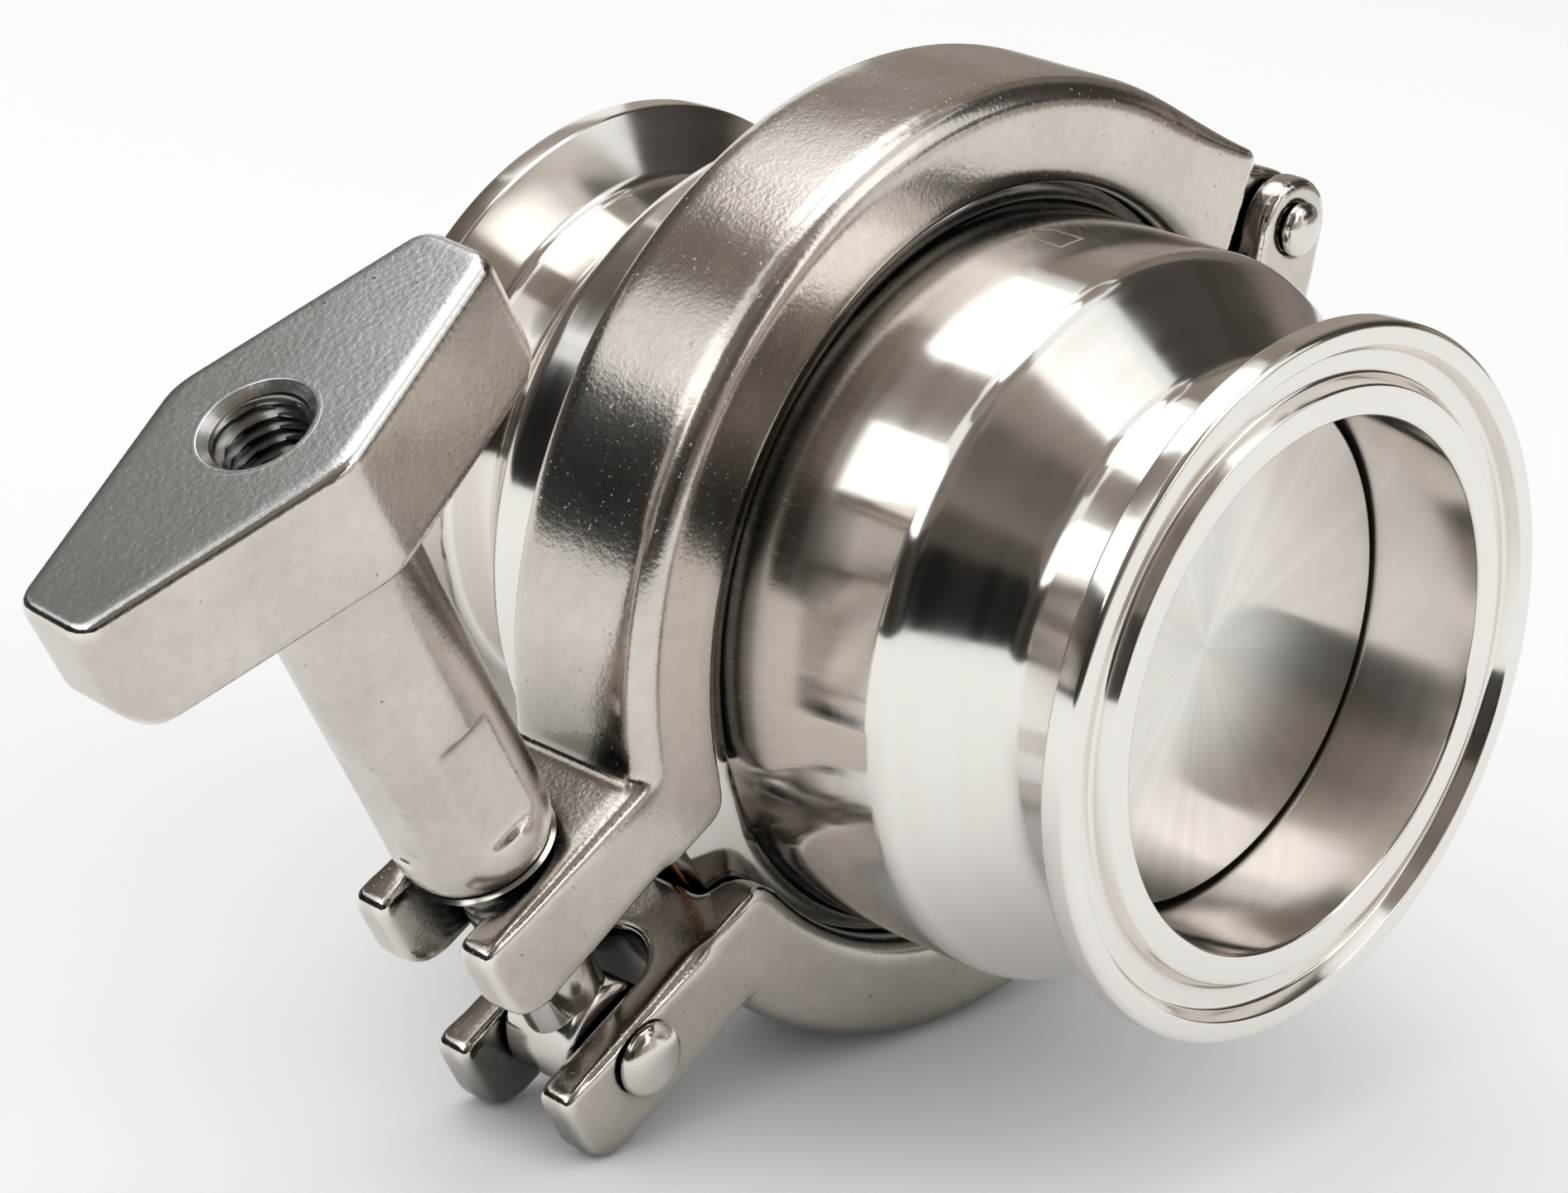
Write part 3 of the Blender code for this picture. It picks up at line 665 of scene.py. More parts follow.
def build_spring(steel):
    """Helical spring with a dead coil at each end."""
    start = disc_back + gap + spring_wire / 2.0
    end = guide_front - gap - spring_wire / 2.0
    live = (end - start - 2.0 * dead_pitch) / (spring_turns - 2)
    steps = coil_steps * spring_turns
    bm = bmesh.new()
    rings = []
    along = start
    for step in range(steps + 1):
        turn = spring_turns * step / steps
        pitch = live if 1.0 <= turn < spring_turns - 1.0 else dead_pitch
        angle = tau * turn
        radial = Vector((0.0, cos(angle), sin(angle)))
        forward = Vector((0.0, -sin(angle), cos(angle))) * spring_radius
        tangent = (forward + Vector((pitch / tau, 0.0, 0.0))).normalized()
        across = tangent.cross(radial)
        centre = Vector((along, 0.0, 0.0)) + radial * spring_radius
        ring = []
        for side in range(wire_sides):
            around = tau * side / wire_sides
            offset = radial * cos(around) + across * sin(around)
            ring.append(bm.verts.new(centre + offset * spring_wire / 2.0))
        rings.append(ring)
        along += pitch * spring_turns / steps
    join_rings(bm, rings, closed=False)
    bm.faces.new(rings[0])
    bm.faces.new(rings[-1])
    piece = make_piece("spring_fine", bm, steel)
    dress(piece, "valve_body", "spring")
    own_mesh(piece)


def clamp_ring():
    half, root = clamp_half_width, lip_radius - rough_depth
    outline = sleeve(-half, half, root, clamp_radius, clamp_edge)
    return turned([(joint_position + x, r) for x, r in outline], round_steps)


def clamp_core():
    """Cutter for the V groove that grips the flanges, and for the lips' round edges."""
    def wall(radius):
        rim = joint_thickness / 2.0 + flange_rim + lip_play / cos(ferrule_slope)
        return rim + (flange_radius - radius) * tan(ferrule_slope)

    bottom = clamp_radius - clamp_wall
    side = [(wall(bottom), bottom), (wall(lip_radius), lip_radius)]
    centre = (clamp_half_width - lip_edge, lip_radius + lip_edge)
    side += arc(centre, lip_edge, -pi / 2.0, 0.0, 8)
    outside = clamp_half_width + cutter_reach
    side += [(outside, lip_radius + lip_edge), (outside, 0.0)]
    outline = [(joint_position + x, r) for x, r in side]
    outline += [(joint_position - x, r) for x, r in reversed(side)]
    return turned(outline, round_steps)


def across_clamp(outline, past=0.0):
    """Prism across the clamp's width, and past it on both sides."""
    half = clamp_half_width + past
    return prism(outline, joint_position - half, joint_position + half)


def cast_block(outline, smooth_from, edge=cast_edge):
    """Prism across the clamp's width whose end edges outside a radius are rounded."""
    bm = across_clamp(outline)

    def on_end(start, end):
        flat = abs(start.x - end.x) < sliver
        return flat and max(hypot(start.y, start.z), hypot(end.y, end.z)) > smooth_from

    soften(bm, on_end, edge)
    return bm


def ear_block(side):
    low, high = sorted((side * parting_gap / 2.0, side * ear_top))
    root = flange_radius - cast_overlap
    outline = rounded(
        [(root, low), (ear_tip, low, ear_heel), (ear_tip, high, ear_corner), (root, high)]
    )
    return cast_block(outline, hypot(root, ear_top) + cast_overlap)


def lug_points(side):
    corner = (-lug_reach, side * lug_rise)
    foot = (-lug_foot, side * parting_gap / 2.0)
    return corner, foot


def hinge_lug(side):
    corner, foot = lug_points(side)
    far = hypot(*corner)
    angle = atan2(corner[1], -corner[0]) + side * acos(clamp_radius / far)
    tangent = (-clamp_radius * cos(angle), clamp_radius * sin(angle))
    inner = [value * (clamp_radius - clamp_edge) / clamp_radius for value in tangent]
    outline = rounded([tangent, (*corner, ear_corner), foot, inner])
    return cast_block(outline, clamp_radius - cast_overlap, lug_edge)


def hinge_strap(side, low, high):
    points = arc((-hinge_reach, 0.0), knuckle_radius, 0.0, tau, 48)[:-1]
    corner, foot = lug_points(side)
    inset = ear_corner / hypot(*corner)
    points.append((corner[0] * (1.0 - inset), corner[1] * (1.0 - inset)))
    points.append(foot)
    points.append((foot[0] + short_reach, foot[1] + side * short_reach))
    hull = [points[index] for index in convex_hull_2d([Vector(p) for p in points])]
    return prism(hull, joint_position + low, joint_position + high)


def parting_cut(side):
    across = clamp_radius + cutter_reach
    corner, foot = lug_points(side)
    slope = (corner[1] - foot[1]) / (corner[0] - foot[0])
    outline = [
        (across, foot[1]),
        foot,
        (-across, foot[1] + slope * (-across - foot[0])),
        (-across, -side * across),
        (across, -side * across),
    ]
    return across_clamp(outline, cutter_reach)


def parting_fillet_cut(side):
    """Cutter that rounds the inner edge where the ear's parting face meets the lips."""
    level = parting_gap / 2.0
    inner = sqrt(lip_radius**2 - level**2)
    rise = level + parting_fillet - skim
    outline = arc((inner + parting_fillet, rise), parting_fillet, -pi / 2.0, -pi, 12)
    depth = inner - rough_depth
    outline += [(depth, rise), (depth, 0.0), (outline[0][0], 0.0)]
    return across_clamp([(y, side * z) for y, z in outline], cutter_reach)


def nut_seat():
    """Cutter for the dish in the upper ear, in which the washer and the nut's end sit."""
    radius = boss_radius + dish_clearance
    outline = arc((0.0, boss_centre), radius, -pi / 2.0, 0.0, 16)
    outline[0] = (0.0, boss_centre - radius)
    outline.append((0.0, boss_centre))
    return slot(outline, (joint_position, bolt_reach), seat_stretch)


def bolt_slot(centre_y):
    reach = ear_top + cutter_reach
    outline = [(0.0, -reach), (slot_half_width, -reach), (slot_half_width, reach), (0.0, reach)]
    return slot(outline, (joint_position, centre_y), ear_tip - centre_y)


def pin_hole(radius, y, z):
    """Cutter for the hole of a pin, along X."""
    far, wide = hole_half_length, radius + pin_play
    outline = [(-far, 0.0), (-far, wide), (far, wide), (far, 0.0)]
    return turned(outline, small_steps, centre=(joint_position, y, z))


def cast_round(piece, voxel, passes):
    """Turn sharp solids into a casting: one skin with soft edges and corners."""
    remesh = piece.modifiers.new("skin", "REMESH")
    remesh.mode = "VOXEL"
    remesh.voxel_size = voxel
    relax = piece.modifiers.new("relax", "SMOOTH")
    relax.factor = 0.5
    relax.iterations = passes
    apply_modifiers(piece)
    piece.data.shade_smooth()
    mark_edges(piece.data)


def mark_edges(mesh):
    """Keep on each vertex how far it stands out from its neighbours, for the edge wear and its
    painted highlight.
    """
    normals = [item.vector.copy() for item in mesh.vertex_normals]
    places = [vertex.co.copy() for vertex in mesh.vertices]
    pairs = [tuple(edge.vertices) for edge in mesh.edges]
    lean = [0.0] * len(places)
    ties = [0] * len(places)
    for first, second in pairs:
        along = (places[second] - places[first]).normalized()
        lean[first] -= along.dot(normals[first])
        lean[second] += along.dot(normals[second])
        ties[first] += 1
        ties[second] += 1
    proud = [value / max(1, number) for value, number in zip(lean, ties)]
    for _ in range(2):
        total = list(proud)
        for first, second in pairs:
            total[first] += proud[second]
            total[second] += proud[first]
        proud = [value / (number + 1) for value, number in zip(total, ties)]
    mesh.attributes.new("worn_and_highlit_edge", "FLOAT", "POINT").data.foreach_set("value", proud)


def build_clamp_half(side, name, straps, slot_centre, cutters, cast):
    """One half of the clamp: side is 1 for the upper and -1 for the lower half."""
    piece = make_piece(name, clamp_ring(), cast)
    steps = cut(parting_cut(side)) + join(ear_block(side), hinge_lug(side))
    steps += join(*[hinge_strap(side, low, high) for low, high in straps])
    steps += cut(clamp_core(), parting_fillet_cut(side), bolt_slot(slot_centre), *cutters)
    combine(piece, steps)
    cast_round(piece, cast_voxel, cast_passes)
    return piece


def build_clamp(cast):
    hinge_hole = pin_hole(hinge_pin_radius, -hinge_reach, 0.0)
    pivot_hole = pin_hole(pivot_pin_radius, bolt_reach, -pivot_drop)
    tongue = [(-tongue_half_width, tongue_half_width)]
    upper = build_clamp_half(
        1.0, "clamp_upper_cast", tongue, bolt_reach, [nut_seat(), hinge_hole.copy()], cast
    )
    dress(upper, "upper_half", "clamp_upper_half")

    fork_inner = tongue_half_width + gap
    fork = [(-hinge_fork_half_width, -fork_inner), (fork_inner, hinge_fork_half_width)]
    square = sqrt(slot_half_width**2 - eye_half_width**2)
    root = bolt_reach - eye_radius + square - 2.0 * gap
    lower = build_clamp_half(-1.0, "clamp_lower_cast", fork, root, [hinge_hole, pivot_hole], cast)
    dress(lower, "valve_body", "clamp_lower_half")


def build_pin(node, radius, half_grip, head_radius, head_height, place, steel):
    """Pin with a domed head at both ends."""
    face = half_grip + gap
    dome = []
    for step in range(dome_steps + 1):
        angle = pi / 2.0 * step / dome_steps
        rise = head_band + (1.0 - head_band) * sin(angle)
        dome.append((face + head_height * rise, head_radius * cos(angle)))
    side = [(face, radius), (face, head_radius - fine_edge), (face + skim, head_radius)]
    side += dome[:-1] + [(dome[-1][0], 0.0)]
    outline = side + [(-x, r) for x, r in reversed(side)]
    centre = (joint_position, *place)
    build_turned(node, outline, small_steps, "valve_body", steel, centre=centre)


def thread_rings(bm, low, high, crest, root, run_out):
    """Rings of a screw thread about Z. The thread fades out over its two run-outs."""
    steps = ceil((high - low) / (thread_pitch / 8.0))
    rings = []
    for index in range(steps + 1):
        z = low + (high - low) * index / steps
        depth = min(1.0, (z - low) / run_out[0], (high - z) / run_out[1])
        ring = []
        for step in range(small_steps):
            angle = tau * step / small_steps
            phase = (z / thread_pitch - step / small_steps) % 1.0
            flank = min(1.0, max(0.0, 2.4 * abs(phase - 0.5) - 0.1))
            radius = crest + (root - crest) * flank * depth
            ring.append(bm.verts.new((radius * cos(angle), radius * sin(angle), z)))
        rings.append(ring)
    return rings


def build_swing_bolt(steel, thread):
    pivot = Vector((joint_position, bolt_reach, -pivot_drop))
    eye = sleeve(-eye_half_width, eye_half_width, 0.0, eye_radius, large_edge)
    bolt = make_piece("swing_bolt_eye", turned(eye, small_steps, centre=pivot), steel)
    neck = [(0.0, 0.0), (0.0, bolt_radius), (bolt_neck, bolt_radius), (bolt_neck, 0.0)]
    hole = pin_hole(pivot_pin_radius, bolt_reach, -pivot_drop)
    combine(bolt, join(turned(neck, small_steps, "Z", pivot)) + cut(hole))
    dress(bolt, "bolt", "swing_bolt")

    bm = bmesh.new()
    root = bolt_radius - bolt_thread_depth
    high = bolt_end - bolt_chamfer
    rings = thread_rings(bm, thread_start, high, bolt_radius, root, (0.0020, 0.0004))
    rings.append(circle(bm, bolt_radius - bolt_chamfer, bolt_end))
    join_rings(bm, rings, closed=False)
    bm.faces.new(rings[0])
    bm.faces.new(rings[-1])
    bmesh.ops.translate(bm, verts=bm.verts, vec=(joint_position, bolt_reach, 0.0))
    shank = make_piece("swing_bolt_thread", bm, thread)
    dress(shank, "bolt", None)


def build_washer(steel):
    centre = (joint_position, bolt_reach, boss_centre)
    inner = boss_radius + washer_play
    outer = inner + washer_wall
    hole = asin(nut_bore_radius / inner)
    outline = arc((0.0, 0.0), outer, pi - hole, pi - washer_spread, 16)
    outline += arc((0.0, 0.0), inner, pi - washer_spread, pi - hole, 16)
    build_turned("nut_washer", outline, small_steps, "washer", steel, "Z", centre)


def handle_prism():
    """Six-sided grip of the wing nut, with rounded edges."""
    tip, mid, length = handle_tip_half_width, handle_half_width, handle_half_length
    outline = [(-tip, length), (-mid, 0.0), (-tip, -length)]
    outline += [(-x, y) for x, y in reversed(outline)]
    low = nut_top - handle_depth
    bm = prism(outline, low, nut_top)
    upright = Matrix(((0, 1, 0), (0, 0, 1), (1, 0, 0)))
    bmesh.ops.rotate(bm, verts=bm.verts, matrix=upright)
    bmesh.ops.recalc_face_normals(bm, faces=bm.faces)
    soften(bm, lambda a, b: abs(a.z - b.z) > edge_span, handle_corner, 5)
    soften(bm, lambda a, b: min(a.z, b.z) > nut_top - level_play, handle_top_edge, 3)
    soften(bm, lambda a, b: max(a.z, b.z) < low + level_play, rim_edge, 3)
    return bm


def underside_cut(end):
    """Cutter that rounds the lower edge at one end of the grip, +1 or -1 along Y."""
    length, radius = handle_half_length, handle_underside
    low = nut_top - handle_depth
    centre = (end * (length - radius), low + radius)
    start = 0.0 if end > 0 else pi
    outline = arc(centre, radius, start, start - end * pi / 2.0, 12)
    outline += [
        (centre[0], low - short_reach),
        (end * (length + short_reach), low - short_reach),
        (end * (length + short_reach), centre[1]),
    ]
    return prism(outline, -handle_half_width, handle_half_width)


def wrench_flats():
    """Cutters for the four flats low on the nut's boss."""
    cutters = []
    low = (wrench_flat, -cutter_reach, wrench_flat_low)
    high = (2.0 * cutter_reach, cutter_reach, wrench_flat_high)
    for index in range(4):
        cutter = block(low, high)
        spin(cutter, index * pi / 2.0, "Z")
        cutters.append(cutter)
    return cutters


def build_wing_nut(cast, thread):
    boss = arc((boss_centre, 0.0), boss_radius, pi, pi / 2.0, 24)
    boss[0] = (boss_centre - boss_radius, 0.0)
    top = nut_top - handle_depth / 2.0
    boss += [(top, boss_radius), (top, 0.0)]
    nut = make_piece("wing_nut_cast", turned(boss, small_steps, "Z"), cast)
    cutters = [underside_cut(1.0), underside_cut(-1.0)] + wrench_flats()
    combine(nut, join(handle_prism()) + cut(*cutters))
    cast_round(nut, nut_voxel, nut_passes)
    sink = countersink_radius - nut_bore_radius
    rim = countersink_radius + bore_rim_width
    seat, wide = nut_top - sink - bore_rim_seat, rim - bore_rim_overlap
    bore = [
        (0.0, 0.0), (0.0, nut_bore_radius), (seat, nut_bore_radius),
        (seat, wide), (nut_top + over_top, wide), (nut_top + over_top, 0.0),
    ]
    combine(nut, cut(turned(bore, small_steps, "Z")))
    centre = Vector((joint_position, bolt_reach, 0.0))
    nut.data.transform(Matrix.Translation(centre) @ Matrix.Rotation(-handle_turn, 4, "Z"))
    dress(nut, "nut", "wing_nut")

    level, foot = nut_top + bore_rim_proud, nut_top - sink - bore_rim_foot
    lip = rounded([
        (nut_top - sink, nut_bore_radius),
        (level, countersink_radius, fine_edge),
        (level, rim, rim_lip_edge),
        (level - fine_edge, rim),
        (foot, rim - bore_rim_foot),
        (foot, nut_bore_radius),
    ])
    bore_rim = make_piece("wing_nut_rim", turned(lip, small_steps, "Z", centre), cast)
    dress(bore_rim, "nut", None)

    bm = bmesh.new()
    low, high = bolt_end + liner_start, nut_top - sink
    root = nut_bore_radius - nut_thread_depth
    rings = thread_rings(bm, low, high, nut_bore_radius, root, (0.0003, 0.0012))
    rings += [circle(bm, nut_bore_radius + liner_wall, z) for z in (high, low)]
    join_rings(bm, rings, closed=True)
    bmesh.ops.translate(bm, verts=bm.verts, vec=centre)
    liner = make_piece("wing_nut_thread", bm, thread)
    dress(liner, "nut", None)


def build_flow_mark(mark):
    """Outlined arrow marked on the inlet barrel, which points along the flow."""
    tail, shoulder, half = mark_tail, mark_shoulder, mark_half_width
    corners = [(tail, -half), (shoulder, -half), (mark_tip, 0.0), (shoulder, half), (tail, half)]
    middle = Vector(((tail + mark_tip) / 2.0, 0.0))
    bm = bmesh.new()
    rings = []
    for radius in (barrel_radius + mark_proud, barrel_radius - mark_depth):
        for inset in (0.0, mark_line):
            ring = []
            for index, corner in enumerate(corners):
                start, end = Vector(corner), Vector(corners[(index + 1) % len(corners)])
                for step in range(mark_steps):
                    point = start.lerp(end, step / mark_steps)
                    inward = middle - point
                    # Inset to the line's inner edge, all but even along the arrow's sides
                    along = limit(inward.x * 800.0) * inset * 1.2
                    point = point + Vector((along, limit(inward.y * 1500.0) * inset))
                    angle = mark_turn + point.y / barrel_radius
                    ring.append(bm.verts.new((point.x, radius * cos(angle), radius * sin(angle))))
            rings.append(ring)
    join_rings(bm, [rings[0], rings[1], rings[3], rings[2]], closed=True)
    piece = make_piece("flow_mark", bm, mark)
    dress(piece, "valve_body", None)


class Look:
    """New material or world and its node tree, with short calls to add nodes."""

    def __init__(self, name, group=bpy.data.materials, shader="Principled BSDF"):
        self.data = group.new(name)
        self.data.use_nodes = True
        self.nodes = self.data.node_tree.nodes
        self.links = self.data.node_tree.links
        self.shader = self.nodes[shader]

    @cached_property
    def place(self):
        return self.add("TexCoord").outputs["Object"]

    def add(self, kind, **settings):
        node = self.nodes.new("ShaderNode" + kind)
        for key, value in settings.items():
            setattr(node, key, value)
        return node

    def feed(self, socket, value):
        """Link a socket to another node, or set it to a number, a vector or a colour."""
        if isinstance(value, bpy.types.NodeSocket):
            self.links.new(value, socket)
        else:
            socket.default_value = value

    def wire(self, node, **values):
        """Feed a node's sockets by name, with _ for a space in the name."""
        for key, value in values.items():
            self.feed(node.inputs[key.replace("_", " ")], value)
        return node

    def set(self, **values):
        self.wire(self.shader, **values)

    def noise(self, scale, detail=2.0, place=None):
        place = place or self.place
        node = self.wire(self.add("TexNoise"), Scale=scale, Detail=detail, Vector=place)
        return node.outputs["Fac"]

    def math(self, operation, *values):
        node = self.add("Math", operation=operation)
        for socket, value in zip(node.inputs, values):
            self.feed(socket, value)
        return node.outputs[0]

    def vector_math(self, operation, first, second=None):
        node = self.add("VectorMath", operation=operation)
        self.feed(node.inputs[0], first)
        if second is not None:
            self.feed(node.inputs["Scale" if operation == "SCALE" else 1], second)
        return node.outputs["Value" if operation == "DOT_PRODUCT" else "Vector"]

    def ramp(self, factor, low, high, start=0.0, end=1.0):
        """Smooth change from low to high as the factor goes from start to end."""
        node = self.add("MapRange", interpolation_type="SMOOTHSTEP")
        self.wire(node, Value=factor, From_Min=start, From_Max=end, To_Min=low, To_Max=high)
        return node.outputs["Result"]

    def mix(self, factor, first, second):
        node = self.wire(self.add("Mix", data_type="RGBA"), Factor=factor)
        for index, value in ((6, first), (7, second)):
            self.feed(node.inputs[index], (*value, 1.0) if isinstance(value, tuple) else value)
        return node.outputs[2]

    def painted_crevice_shade(self, distance, low, start=0.25, end=0.85):
        """Painted shade: low in narrow gaps and corners, 1 on open faces, for darkening a colour
        where shade falls.
        """
        node = self.wire(self.add("AmbientOcclusion", samples=8), Distance=distance)
        return self.ramp(node.outputs["AO"], low, 1.0, start, end)

    def darken(self, colour, factor):
        return self.vector_math("SCALE", colour, factor)

    def bump(self, height, strength, distance, before=None):
        node = self.wire(self.add("Bump"), Strength=strength, Distance=distance, Height=height)
        if before:
            self.wire(node, Normal=before)
        return node.outputs["Normal"]

    def around_place(self):
        """Direction from the valve's axis, the same all along a radius."""
        flat = self.vector_math("MULTIPLY", self.place, (0.0, 1.0, 1.0))
        return self.vector_math("NORMALIZE", flat)

    def turned_place(self):
        """Coordinates (along the valve's axis, radius, 0), the same all round a turned piece."""
        split = self.add("SeparateXYZ")
        self.feed(split.inputs[0], self.place)
        square = self.math("MULTIPLY", split.outputs["Y"], split.outputs["Y"])
        square = self.math("MULTIPLY_ADD", split.outputs["Z"], split.outputs["Z"], square)
        radius = self.math("SQRT", square)
        return self.wire(self.add("CombineXYZ"), X=split.outputs["X"], Y=radius).outputs[0]


def turned_look(name, roughness, spread, fan=0.0):
    """Steel fresh from the lathe: fine rings and a highlight that spreads across them.

    Fan is the strength of the faint streaks of painted highlight and shade that run out from the
    centre of a faced disc.
    """
    look = Look(name)
    rings = look.turned_place()
    fine = look.noise(5200.0, 3.0, rings)
    broad = look.noise(420.0, 2.0, rings)
    smear = look.noise(55.0, 3.0)
    tangent = look.add("Tangent", direction_type="RADIAL", axis="X").outputs[0]
    look.set(Metallic=1.0, Anisotropic=spread, Anisotropic_Rotation=0.25, Tangent=tangent)
    # Painted shade: the colour darkens in gaps and corners, where shade falls.
    tone = look.painted_crevice_shade(0.0032, 0.68, 0.15, 0.75)
    # Painted highlight and shade: faint streaks of lighter and darker colour that run out from the
    # disc's centre.
    if fan:
        streaks = look.noise(9.0, 5.0, look.around_place())
        tone = look.math("MULTIPLY", tone, look.ramp(streaks, 1.0 - fan, 1.0 + fan, 0.35, 0.65))
    base = look.mix(broad, pale_steel, (0.86, 0.83, 0.795))
    rough = roughness if fan else look.ramp(broad, roughness, roughness + 0.04, 0.3, 0.7)
    look.set(
        Base_Color=look.darken(base, tone),
        Roughness=look.math("MULTIPLY_ADD", smear, 0.05, rough),
        Normal=look.bump(fine, 0.02 if fan else 0.04, 0.00002),
    )
    return look.data


def cast_look(name, dark, pale, roughness, grain, size, speck, top=None):
    """Cast and tumbled steel: soft peel, sand grain, small pits, specks and bright edges, which are
    partly wear and partly a painted highlight.

    Top is the colour of the flat face that looks along the swing bolt, if it differs. It is painted
    light: a paler colour that makes that face look brighter than the sides.
    """
    look = Look(name)
    peel = look.noise(420.0, 3.0)
    fine = look.noise(size, 2.0)
    cloud = look.noise(90.0, 3.0)
    specks = look.ramp(look.noise(2900.0, 1.0), 0.0, speck, 0.70, 0.76)
    pits = look.ramp(look.noise(1900.0, 0.0), 0.0, 1.0, 0.86, 0.89)
    wear_and_highlight = look.add("Attribute", attribute_name="worn_and_highlit_edge")
    edges = look.ramp(wear_and_highlight.outputs["Fac"], 0.0, 1.0, 0.025, 0.10)
    base = look.mix(look.ramp(cloud, 0.0, 1.0, 0.2, 0.8), dark, pale)
    base = look.darken(base, look.ramp(look.noise(800.0, 4.0), 0.95, 1.04, 0.25, 0.75))
    # Painted light: the flat top face takes a paler colour than the sides, as if lit more.
    if top:
        height = look.vector_math("DOT_PRODUCT", look.place, valve.col[2][:3])
        face = look.ramp(height, 0.0, 1.0, nut_top - 0.0006, nut_top - 0.0002)
        base = look.mix(face, base, top)
    base = look.mix(specks, base, (0.78, 0.75, 0.71))
    base = look.mix(pits, base, (0.30, 0.27, 0.24))
    # Partly wear, partly painted highlight: edges that stand out take the pale steel colour.
    base = look.mix(edges, base, pale_steel)
    rough = look.ramp(cloud, roughness, roughness + 0.04, 0.2, 0.8)
    rough = look.math("MULTIPLY_ADD", fine, 0.05, rough)
    rough = look.math("MULTIPLY_ADD", specks, 0.40, rough)
    shine = look.math("MULTIPLY_ADD", edges, -0.75 * roughness, rough)
    # Painted shade: the colour darkens in gaps and corners, where shade falls.
    look.set(
        Metallic=1.0,
        Base_Color=look.darken(base, look.painted_crevice_shade(0.012, 0.26, 0.15, 0.85)),
        Roughness=look.math("MAXIMUM", shine, 0.08),
        Normal=look.bump(fine, grain, 0.00004, look.bump(peel, 0.06, 0.00025)),
    )
    return look.data


def polished_look(name, roughness, tone=1.0):
    """Polished steel of pins, bolt and spring, with a faint grain and painted shade in gaps and
    corners.
    """
    look = Look(name)
    cloud = look.noise(260.0, 3.0)
    fine = look.noise(3800.0, 2.0)
    dark = tuple(tone * value for value in (0.68, 0.645, 0.605))
    pale = tuple(tone * value for value in (0.80, 0.765, 0.73))
    # Painted shade: the colour darkens in gaps and corners, where shade falls.
    look.set(
        Metallic=1.0,
        Base_Color=look.darken(look.mix(cloud, dark, pale), look.painted_crevice_shade(0.007, 0.20)),
        Roughness=look.ramp(cloud, roughness, roughness + 0.08, 0.3, 0.7),
        Normal=look.bump(fine, 0.10, 0.00002),
    )
    return look.data


def mark_look():
    """Dull, slightly brown trace of a marking laser on steel."""
    look = Look("laser_mark_look")
    grain = look.noise(6000.0, 2.0)
    look.set(
        Metallic=0.6,
        Base_Color=look.mix(grain, (0.40, 0.34, 0.27), (0.56, 0.49, 0.41)),
        Roughness=look.ramp(grain, 0.42, 0.60, 0.3, 0.7),
    )
    return look.data


def rubber_look(name, dark, pale, roughness):
    """Rubber and plastic, a little uneven in colour and gloss."""
    look = Look(name)
    cloud = look.noise(300.0, 4.0)
    look.set(
        Base_Color=look.mix(cloud, dark, pale),
        Roughness=look.ramp(cloud, roughness, roughness + 0.15, 0.3, 0.7),
        Normal=look.bump(look.noise(3000.0, 2.0), 0.2, 0.00003),
    )
    return look.data


def matt_look(name):
    """Start of the matt looks of the floor and the cards, without a highlight."""
    look = Look(name)
    look.set(Roughness=0.9, Specular_IOR_Level=0.0)
    return look


def build_camera():
    """Camera fitted to the photograph's circles, placed in the valve frame."""
    data = bpy.data.cameras.new("camera")
    data.sensor_width = camera_sensor
    data.lens = camera_lens
    camera = add_object("camera", data)
    camera.matrix_world = valve @ Matrix.LocRotScale(camera_place, camera_turn, None)
    bpy.context.scene.camera = camera


def build_floor():
    bm = bmesh.new()
    bmesh.ops.create_grid(bm, x_segments=1, y_segments=1, size=floor_half_width)
    floor = add_object("floor", add_mesh("floor", bm))
    floor.location.z = -floor_drop
    look = matt_look("floor_white")
    grain = look.noise(30.0, 3.0)
    look.set(Base_Color=look.mix(grain, (0.935, 0.935, 0.935), (0.945, 0.945, 0.945)))
    floor.data.materials.append(look.data)


def build_light(name, place, size, power, colour):
    data = bpy.data.lights.new(name, "AREA")
    data.shape = "RECTANGLE"
    data.size, data.size_y = size
    data.energy = power
    data.color = colour
    light = add_object(name, data)
    light.location = place
    light.rotation_mode = "QUATERNION"
    light.rotation_quaternion = (lamp_aim - Vector(place)).to_track_quat("-Z", "Y")


def spread_angles(start, end, steps):
    """Even row of angles in radians, from start to end in degrees."""
    return [radians(start + (end - start) * step / steps) for step in range(steps + 1)]


def build_card(index, west, east, bottom, top, tone):
    """Curved studio card for the steel to mirror, between two azimuths and elevations."""
    name = "card_%d" % index
    bm = bmesh.new()
    rows = []
    for level in spread_angles(bottom, top, card_rows):
        row = []
        for around in spread_angles(west, east, card_columns):
            ahead = Vector((cos(around) * cos(level), sin(around) * cos(level), sin(level)))
            row.append(bm.verts.new(ahead * studio_radius))
        rows.append(row)
    join_rows(bm, rows)
    card = add_object(name, add_mesh(name, bm))
    card.data.shade_smooth()
    card.location.z = studio_height
    look = matt_look(name + "_look")
    cloud = look.ramp(look.noise(3.0, 2.0), 0.0, 1.0, 0.35, 0.65)
    dark, pale = (tuple(tone * share for share in shares) for shares in card_shares)
    look.set(Base_Color=look.mix(cloud, dark, pale))
    card.data.materials.append(look.data)
    card.visible_camera = False
    card.visible_diffuse = False
    card.visible_shadow = False


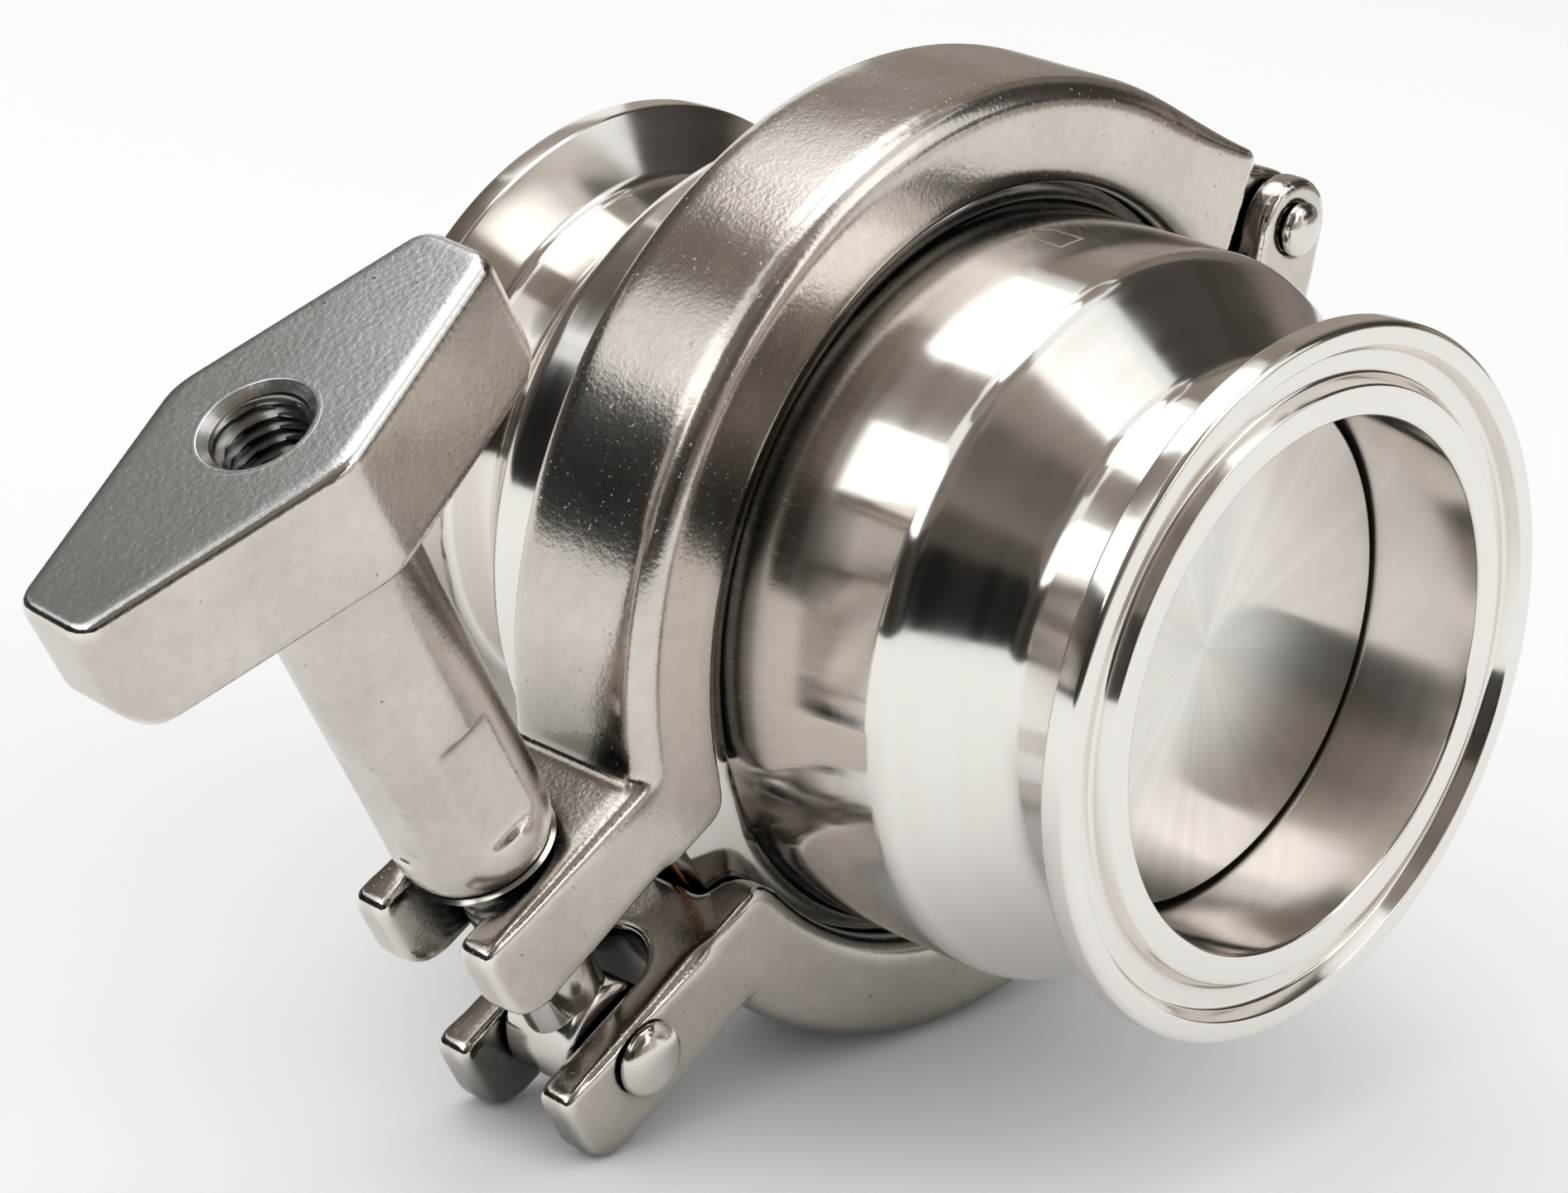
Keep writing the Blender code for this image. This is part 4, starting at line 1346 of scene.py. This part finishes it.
def build_world():
    """White behind the valve and in its mirror images, and a plain level of soft light."""
    look = Look("studio", bpy.data.worlds, "Background")
    rays = look.add("LightPath").outputs
    seen = look.math("MAXIMUM", rays["Is Camera Ray"], rays["Is Glossy Ray"])
    seen = look.math("MAXIMUM", seen, rays["Is Transmission Ray"])
    look.set(Color=look.mix(seen, (ambient, ambient, ambient), (1.0, 1.0, 1.0)))
    bpy.context.scene.world = look.data


def main():
    steel = turned_look("turned_steel_look", 0.085, 0.80)
    face = turned_look("disc_look", 0.23, 0.93, 0.035)
    cast = cast_look(
        "clamp_cast_look", dark=(0.57, 0.53, 0.485), pale=(0.66, 0.615, 0.57),
        roughness=0.13, grain=0.34, size=2400.0, speck=1.0,
    )
    # The nut's top colour is painted light: paler than its sides.
    nut_cast = cast_look(
        "nut_cast_look", dark=(0.56, 0.52, 0.48), pale=(0.69, 0.65, 0.605),
        roughness=0.20, grain=0.50, size=1900.0, speck=0.30, top=(0.72, 0.735, 0.74),
    )
    pins = polished_look("pin_look", 0.10)
    thread = polished_look("thread_look", 0.20, 0.55)
    build_bodies(steel)
    build_clamp(cast)
    build_pin(
        "hinge_pin", hinge_pin_radius, hinge_fork_half_width,
        hinge_head_radius, hinge_head_height, (-hinge_reach, 0.0), pins,
    )
    build_pin(
        "bolt_pivot_pin", pivot_pin_radius, clamp_half_width,
        pivot_head_radius, pivot_head_height, (bolt_reach, -pivot_drop), pins,
    )
    build_swing_bolt(pins, thread)
    build_washer(pins)
    build_wing_nut(nut_cast, thread)
    build_flow_mark(mark_look())
    gasket = rubber_look("gasket_look", (0.42, 0.17, 0.05), (0.55, 0.26, 0.09), 0.45)
    for material_slot in bpy.data.objects["body_gasket"].material_slots:
        material_slot.material = gasket
    build_poppet(face, steel, rubber_look("seal_look", (0.02, 0.02, 0.02), (0.04, 0.04, 0.04), 0.5))
    build_guide(steel, rubber_look("bush_look", (0.78, 0.77, 0.73), (0.86, 0.85, 0.81), 0.4))
    build_spring(polished_look("spring_look", 0.2))
    build_camera()
    build_floor()
    for index, card in enumerate(cards):
        build_card(index, *card)
    build_world()
    for lamp in lamps:
        build_light(*lamp)
    bpy.context.scene.view_settings.view_transform = "Standard"


main()
